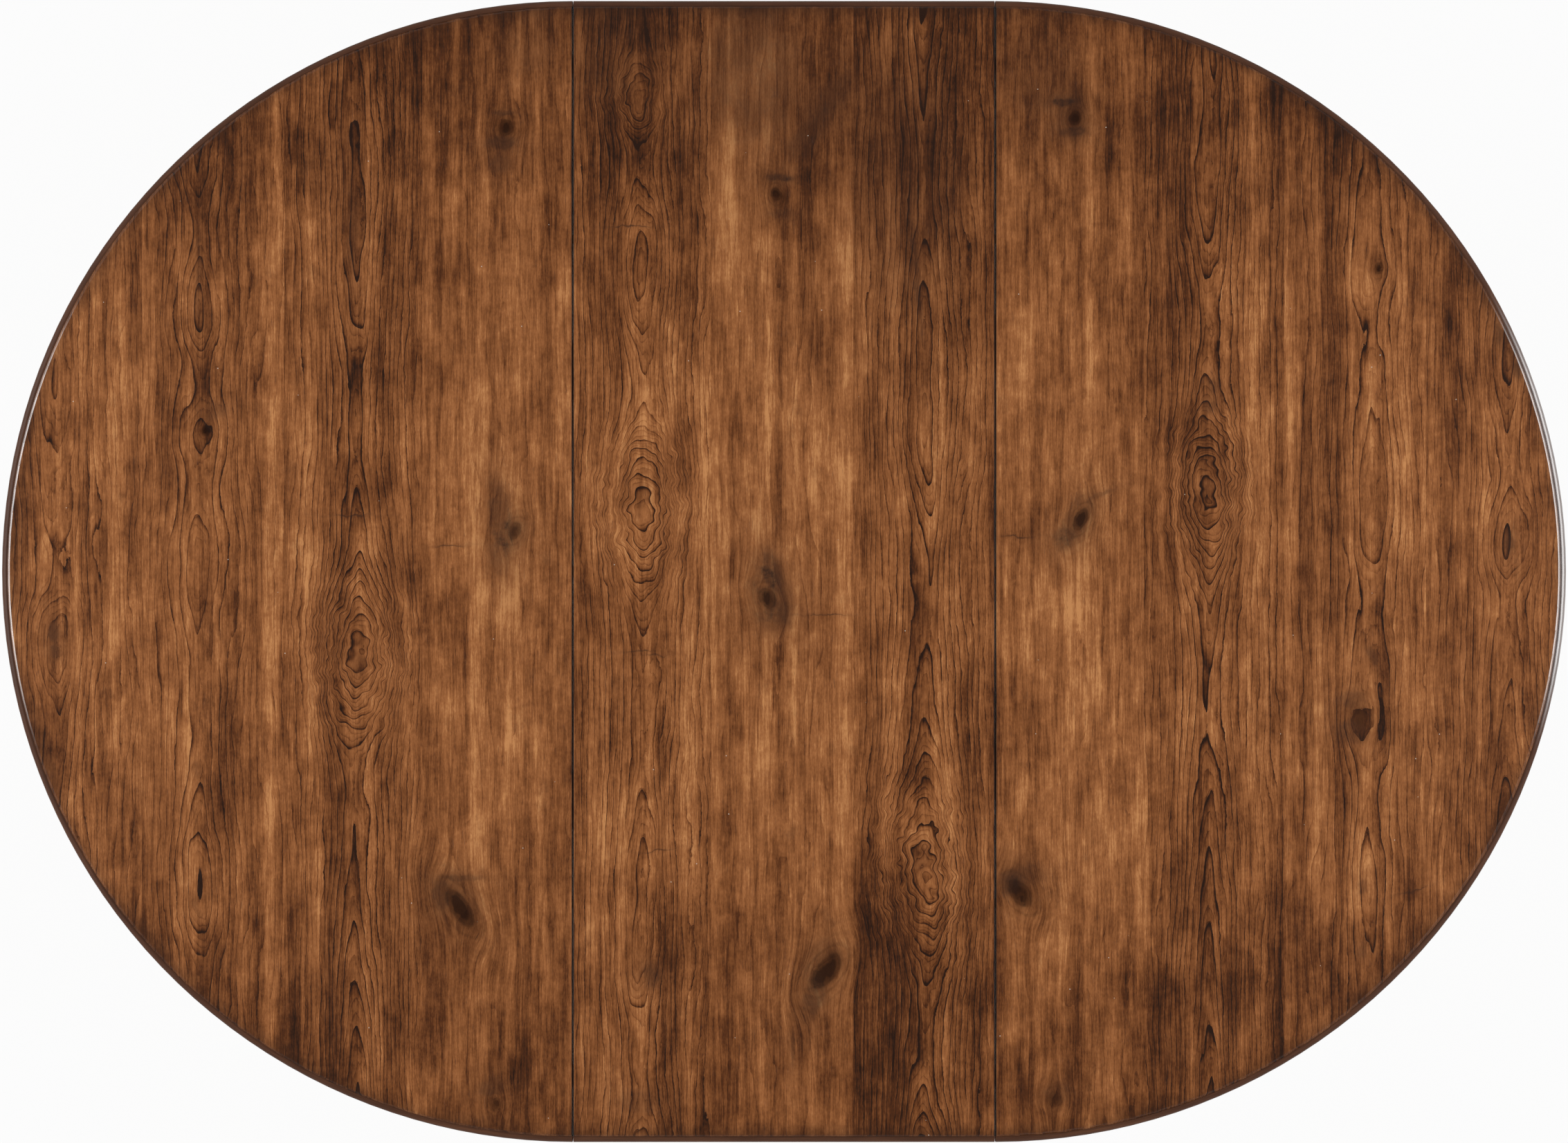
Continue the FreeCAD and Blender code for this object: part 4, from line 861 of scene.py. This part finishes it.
def half_coat(graph, place, rim):
    """Polish on the arris round the ends of the table."""
    polish = graph.smooth(rim, MOULDING + ARRIS, MOULDING + ARRIS * ARRIS_FULL_SHARE)
    return coat_with(polish * end_share(graph, place))


def no_coat(graph, place, rim):
    """The leaf's arris is as dull as its face."""
    return {}


def half_seam(side):
    """Distance from the edge of a half's panel at the seam."""
    def seam(graph, place):
        return place.across * side - SEAM
    return seam


def leaf_seam(graph, place):
    """Distance from the edge of the leaf's panel at the nearer seam."""
    return LEAF_EDGE - graph.math("ABSOLUTE", place.across)


def round_rim(side):
    """Distance in from a half-round edge."""
    def rim(graph, place):
        out = place.across - side * SEAM
        return HALF_WIDTH - graph.math("SQRT", out ** 2.0 + place.along ** 2.0)
    return rim


def straight_rim(graph, place):
    """Distance in from the leaf's ends."""
    return HALF_WIDTH - graph.math("ABSOLUTE", place.along)


def wood(name, stops, grain, groove, contrast=1.0, roughness=WOOD_ROUGHNESS, **constants):
    """Solid wood, with its grain along the way that grain gives, and glaze and painted shade darkening its
    grooves.
    """
    graph = Graph(name)
    place = grain(graph, graph.place())
    return wood_finish(graph, place, stops, groove, contrast, roughness, **constants)


def wood_finish(graph, place, stops, groove, contrast, roughness, **constants):
    """Colour, pores and roughness of solid wood, with the grain along the place's second axis."""
    streaks = graph.noise(place, WOOD_STREAKS)
    fibres = graph.noise(place, WOOD_FIBRES)
    blotches = graph.noise(place, WOOD_BLOTCHES)
    figure = graph.toned(place, WOOD_BANDS) + streaks * WOOD_STREAKS.tone_share
    figure = figure + fibres * WOOD_FIBRES.tone_share + blotches * WOOD_BLOTCHES.tone_share
    colour = graph.ramp(MIDDLE_SHARE + figure * contrast, stops)
    # Painted shade and glaze: the piece's own grooves and corners darkened, found by ambient occlusion
    open_air = graph.smooth(graph.recess(groove), *GROOVE_GLAZE_AND_SHADE_STOPS)
    colour = graph.mix((1.0 - open_air) * GROOVE_GLAZE_AND_SHADE_SHARE, colour, paint(stops[0][1]))
    pores = graph.smooth(graph.noise(place, WOOD_PORES), *WOOD_PORE_STOPS)
    colour = graph.mix(pores * WOOD_PORE_SHARE, colour, paint(stops[0][1]))
    height = MIDDLE_SHARE + streaks * STREAK_DEPTH_SHARE + fibres * WOOD_FIBRE_DEPTH_SHARE
    height = height - pores * PORE_DEPTH_SHARE
    return graph.finish(colour, roughness + blotches * BLOTCH_ROUGHNESS, height, WOOD_BUMP, **constants)


def half_edge(name, side, polish_share):
    """Dark edge wood of a half, polished on its bead round the end of the table."""
    graph = Graph(name)
    place = graph.place()
    bead = graph.smooth(place.up, TOP - BEAD_FOOT, TOP - BEAD_CROWN)
    coat = coat_with(bead * end_share(graph, place) * polish_share)
    grain = grain_round(side)(graph, place)
    return wood_finish(graph, grain, EDGE_STOPS, EDGE_GROOVE, contrast=1.0, **EDGE_FINISH, **coat)


def grain_along_x(graph, place):
    return Place(place.along, place.across, place.up)


def grain_along_y(graph, place):
    return place


def grain_upright(graph, place):
    return Place(place.across, place.up, place.along)


def grain_round(side):
    """Grain that follows a half-round edge."""
    def grain(graph, place):
        out = place.across - side * SEAM
        angle = graph.math("ARCTAN2", place.along, out * side)
        radius = graph.math("SQRT", out ** 2.0 + place.along ** 2.0)
        return Place(radius, angle * HALF_WIDTH, place.up)
    return grain


def grain_along_leg(turn):
    """Grain along a leg that slopes down and out in a given direction."""
    def grain(graph, place):
        out = place.across * math.cos(turn) + place.along * math.sin(turn)
        aside = place.along * math.cos(turn) - place.across * math.sin(turn)
        down = out * math.cos(LEG_SLOPE) - place.up * math.sin(LEG_SLOPE)
        return Place(aside, down, out * math.sin(LEG_SLOPE) + place.up * math.cos(LEG_SLOPE))
    return grain


def metal(name, stops, roughness):
    """Plated metal with fine brushing and dull spots."""
    graph = Graph(name)
    place = graph.place()
    brushing = graph.noise(place, BRUSHING)
    spots = graph.noise(place, DULL_SPOTS)
    tone = MIDDLE_SHARE + brushing * BRUSHING.tone_share + spots * DULL_SPOTS.tone_share
    colour = graph.ramp(tone, stops)
    roughness = roughness + spots * DULL_ROUGHNESS
    return graph.finish(colour, roughness, as_share(brushing), METAL_BUMP, metallic=1.0)


def plastic(name, stops):
    """Moulded nylon, slightly mottled."""
    graph = Graph(name)
    mottle = graph.noise(graph.place(), NYLON_MOTTLE)
    colour = graph.ramp(MIDDLE_SHARE + mottle * NYLON_MOTTLE.tone_share, stops)
    roughness = NYLON_ROUGHNESS + mottle * NYLON_MOTTLE_ROUGHNESS
    return graph.finish(colour, roughness, as_share(mottle), NYLON_BUMP, subsurface_weight=NYLON_SUBSURFACE)


def dress(material, *nodes):
    """Gives CAD nodes a material."""
    for name in nodes:
        slots = frame["nodes"][name].data.materials
        slots.clear()
        slots.append(material)


def dress_top():
    """Veneer and moulded edges of the halves and the leaf."""
    left = veneer("veneer_left", LEFT_STRIPS, LOW.x, -SEAM, round_rim(-1), half_seam(-1), half_coat)
    leaf = veneer("veneer_leaf", LEAF_STRIPS, -LEAF_EDGE, LEAF_EDGE, straight_rim, leaf_seam, no_coat)
    right = veneer("veneer_right", RIGHT_STRIPS, SEAM, HIGH.x, round_rim(1), half_seam(1), half_coat)
    dress(left, "left_panel")
    dress(leaf, "leaf_panel")
    dress(right, "right_panel")
    dress(half_edge("left_edge_wood", -1, LEFT_POLISH_SHARE), "left_edge_moulding")
    dress(half_edge("right_edge_wood", 1, RIGHT_POLISH_SHARE), "right_edge_moulding")
    leaf_edge = wood("leaf_edge_wood", EDGE_STOPS, grain_along_x, EDGE_GROOVE, **EDGE_FINISH)
    dress(leaf_edge, "leaf_edge_front", "leaf_edge_rear")


def dress_base():
    """Stained wood of the aprons, the column and the legs."""
    for side, half in ((-1, "left"), (1, "right")):
        dress(wood(half + "_apron_wood", BASE_STOPS, grain_round(side), APRON_GROOVE), half + "_apron")
    leaf_apron = wood("leaf_apron_wood", BASE_STOPS, grain_along_x, APRON_GROOVE)
    dress(leaf_apron, "leaf_apron_front", "leaf_apron_rear")
    dress(wood("turned_wood", BASE_STOPS, grain_upright, TURNED_GROOVE), "column", "column_drop")
    legs = ("leg_back_right", "leg_back_left", "leg_front_left", "leg_front_right")
    for i, leg in enumerate(legs):
        turn = math.tau * (i + 0.5) / len(legs)
        dress(wood(leg + "_wood", BASE_STOPS, grain_along_leg(turn), TURNED_GROOVE), leg)


def dress_works():
    """Bare wood of the slides and blocks, and the metal and nylon pieces."""
    rails = [name for name in frame["nodes"] if "_rail_" in name and "screws" not in name]
    bare_x = wood("bare_wood_x", BARE_STOPS, grain_along_x, BARE_GROOVE, **BARE_FINISH)
    bare_y = wood("bare_wood_y", BARE_STOPS, grain_along_y, BARE_GROOVE, **BARE_FINISH)
    dress(bare_x, *rails, "mounting_plate", "left_pins", "leaf_pins")
    dress(bare_y, "bearer_left", "bearer_right")
    dress(bare_y, "right_apron_blocks", "left_apron_blocks", "leaf_apron_blocks")
    finishes = {
        "steel": metal("zinc_steel", STEEL_STOPS, STEEL_ROUGHNESS),
        "lock_steel": metal("brass_plate", BRASS_STOPS, BRASS_ROUGHNESS),
        "nylon": plastic("nylon", NYLON_STOPS),
    }
    for row in frame["record"]["subparts"]:
        if row["material_slot"] in finishes:
            dress(finishes[row["material_slot"]], row["node"])


def ring_of(bm, centre, points):
    """Vertices at points round a centre, joined in a ring."""
    x, y, z = centre
    verts = [bm.verts.new((x + px, y + py, z + pz)) for px, py, pz in points]
    edges = [bm.edges.new((a, b)) for a, b in zip(verts, verts[1:] + verts[:1])]
    return verts, edges


def circle(radius, rise):
    """Points of a screw head's rim."""
    step = math.tau / SCREW_SIDES
    return [(radius * math.cos(step * i), radius * math.sin(step * i), rise) for i in range(SCREW_SIDES)]


def cross(rise):
    """Outline of a cross recess."""
    reach = SCREW_RADIUS * RECESS_REACH_SHARE
    half = SCREW_RADIUS * RECESS_HALF_SHARE
    arm = [(reach, -half), (reach, half), (half, half)]
    points = []
    for _ in range(RECESS_ARMS):
        points += [(x, y, rise) for x, y in arm]
        arm = [(-y, x) for x, y in arm]
    return points


def wall(bm, first, second):
    """Faces between two rings of as many vertices."""
    for i, vert in enumerate(first):
        bm.faces.new((first[i - 1], vert, second[i], second[i - 1]))


def add_screw(bm, centre):
    """A screw head that faces down, with its rim on the plate and a recess painted dark for its shade."""
    rim, _ = ring_of(bm, centre, circle(SCREW_RADIUS, 0.0))
    flat, flat_edges = ring_of(bm, centre, circle(SCREW_RADIUS * FLAT_SHARE, -SCREW_PROUD))
    mouth, mouth_edges = ring_of(bm, centre, cross(-SCREW_PROUD))
    floor, _ = ring_of(bm, centre, cross(-RECESS_FLOOR))
    wall(bm, rim, flat)
    bmesh.ops.triangle_fill(bm, edges=flat_edges + mouth_edges, use_beauty=True)
    wall(bm, mouth, floor)
    # The recess floor takes the second material, a painted shade
    bm.faces.new(floor).material_index = 1


def make_screws(name, body, places, head, recess):
    """Screw heads of one plate's node, at the plate's lower face."""
    bm = bmesh.new()
    for x, y in places:
        add_screw(bm, (x, y, UNDERSIDE - PLATE_SHEET))
    bmesh.ops.recalc_face_normals(bm, faces=bm.faces)
    mesh = bpy.data.meshes.new(name)
    bm.to_mesh(mesh)
    bm.free()
    mesh.materials.append(head)
    mesh.materials.append(recess)
    screws = bpy.data.objects.new(name, mesh)
    bpy.context.scene.collection.objects.link(screws)
    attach(screws, body)


def plate_screws(node):
    """Two screw places along each lock plate of a node."""
    low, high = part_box(node)
    middle = high.y - PLATE_WIDTH / 2
    return [(x, y) for x in (low.x + SCREW_INSET, high.x - SCREW_INSET) for y in (-middle, middle)]


def keeper_screws(node):
    """Two screw places across each keeper of a node."""
    low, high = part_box(node)
    out = high.y - SCREW_INSET
    inside = high.y - PLATE_WIDTH + SCREW_INSET
    return [(low.x + SCREW_INSET, y) for y in (-out, -inside, inside, out)]


def make_all_screws():
    """Screws of the lock plates and keepers."""
    head = metal("screw_brass", BRASS_STOPS, SCREW_ROUGHNESS)
    # Painted shade for the floors of the cross recesses
    recess = metal("screw_recess_shade", RECESS_SHADE_STOPS, RECESS_ROUGHNESS)
    make_screws("right_lock_screws", "right_half", plate_screws("right_lock_plates"), head, recess)
    make_screws("leaf_lock_screws", "leaf", plate_screws("leaf_lock_plates"), head, recess)
    make_screws("leaf_keeper_screws", "leaf", keeper_screws("leaf_keepers"), head, recess)
    make_screws("left_keeper_screws", "left_half", keeper_screws("left_keepers"), head, recess)


def floor_material():
    """White that keeps the table's shadow, and is clear from below."""
    graph = Graph("floor")
    seen = graph.output("Is Camera Ray", "ShaderNodeLightPath", {})
    for ray in ("Is Glossy Ray", "Is Transmission Ray"):
        seen = graph.math("MAXIMUM", seen, graph.output(ray, "ShaderNodeLightPath", {}))
    matte = graph.output(0, "ShaderNodeBsdfDiffuse", {"Color": paint(FLOOR_COLOUR)})
    white = graph.output(0, "ShaderNodeEmission", {"Color": (1.0, 1.0, 1.0, 1.0), "Strength": 1.0})
    both = graph.output(0, "ShaderNodeMixShader", {0: seen * FLOOR_WHITE_SHARE, 1: matte, 2: white})
    behind = graph.output("Backfacing", "ShaderNodeNewGeometry", {})
    clear = graph.output(0, "ShaderNodeBsdfTransparent", {})
    sided = graph.output(0, "ShaderNodeMixShader", {0: behind, 1: both, 2: clear})
    graph.node("ShaderNodeOutputMaterial", {"Surface": sided})
    return graph.material


def make_floor():
    """A large flat floor under the table."""
    mesh = bpy.data.meshes.new("floor")
    half = FLOOR_SIZE / 2
    corners = [(-half, -half, 0), (half, -half, 0), (half, half, 0), (-half, half, 0)]
    mesh.from_pydata(corners, [], [range(len(corners))])
    mesh.materials.append(floor_material())
    floor = bpy.data.objects.new("floor", mesh)
    bpy.context.scene.collection.objects.link(floor)


def make_surround():
    """A studio surround, white round the horizon and darker overhead."""
    world = bpy.data.worlds.new("surround")
    bpy.context.scene.world = world
    world.use_nodes = True
    tree = world.node_tree
    tree.nodes.clear()
    where = tree.nodes.new("ShaderNodeTexCoord")
    split = tree.nodes.new("ShaderNodeSeparateXYZ")
    fade = tree.nodes.new("ShaderNodeMapRange")
    fade.interpolation_type = "SMOOTHSTEP"
    light = tree.nodes.new("ShaderNodeBackground")
    out = tree.nodes.new("ShaderNodeOutputWorld")
    keys = ("From Min", "From Max", "To Min", "To Max")
    for key, value in zip(keys, SURROUND_STOPS + (HORIZON_LEVEL, ZENITH_LEVEL)):
        fade.inputs[key].default_value = value
    tree.links.new(where.outputs["Generated"], split.inputs[0])
    tree.links.new(split.outputs[2], fade.inputs["Value"])
    tree.links.new(fade.outputs[0], light.inputs["Strength"])
    tree.links.new(light.outputs[0], out.inputs[0])


def make_softbox(side):
    """A large soft light beyond one end of the table."""
    data = bpy.data.lights.new("softbox", "AREA")
    data.shape = "RECTANGLE"
    data.size = SOFTBOX_WIDTH
    data.size_y = SOFTBOX_HEIGHT
    data.energy = SOFTBOX_RADIANCE * math.pi * SOFTBOX_WIDTH * SOFTBOX_HEIGHT
    lamp = bpy.data.objects.new("softbox", data)
    out = SOFTBOX_DISTANCE * math.cos(SOFTBOX_RISE)
    lamp.location = (side * out, 0.0, TOP + SOFTBOX_DISTANCE * math.sin(SOFTBOX_RISE))
    lamp.rotation_euler = (math.pi / 2 - SOFTBOX_RISE, 0.0, side * math.pi / 2)
    lamp.visible_camera = False
    bpy.context.scene.collection.objects.link(lamp)


def make_camera():
    """The photograph's camera, straight above the table."""
    data = bpy.data.cameras.new("camera")
    data.sensor_width = SENSOR_WIDTH
    data.lens = FOCAL_LENGTH
    width = (HIGH.x - LOW.x) * PHOTO_WIDTH / TABLE_PIXELS
    camera = bpy.data.objects.new("camera", data)
    camera.location = (0.0, 0.0, TOP + width * FOCAL_LENGTH / SENSOR_WIDTH)
    bpy.context.scene.collection.objects.link(camera)
    bpy.context.scene.camera = camera


make_camera()
make_surround()
make_softbox(-1)
make_softbox(1)
make_floor()
dress_top()
dress_base()
dress_works()
make_all_screws()
bpy.context.scene.view_settings.view_transform = "Standard"
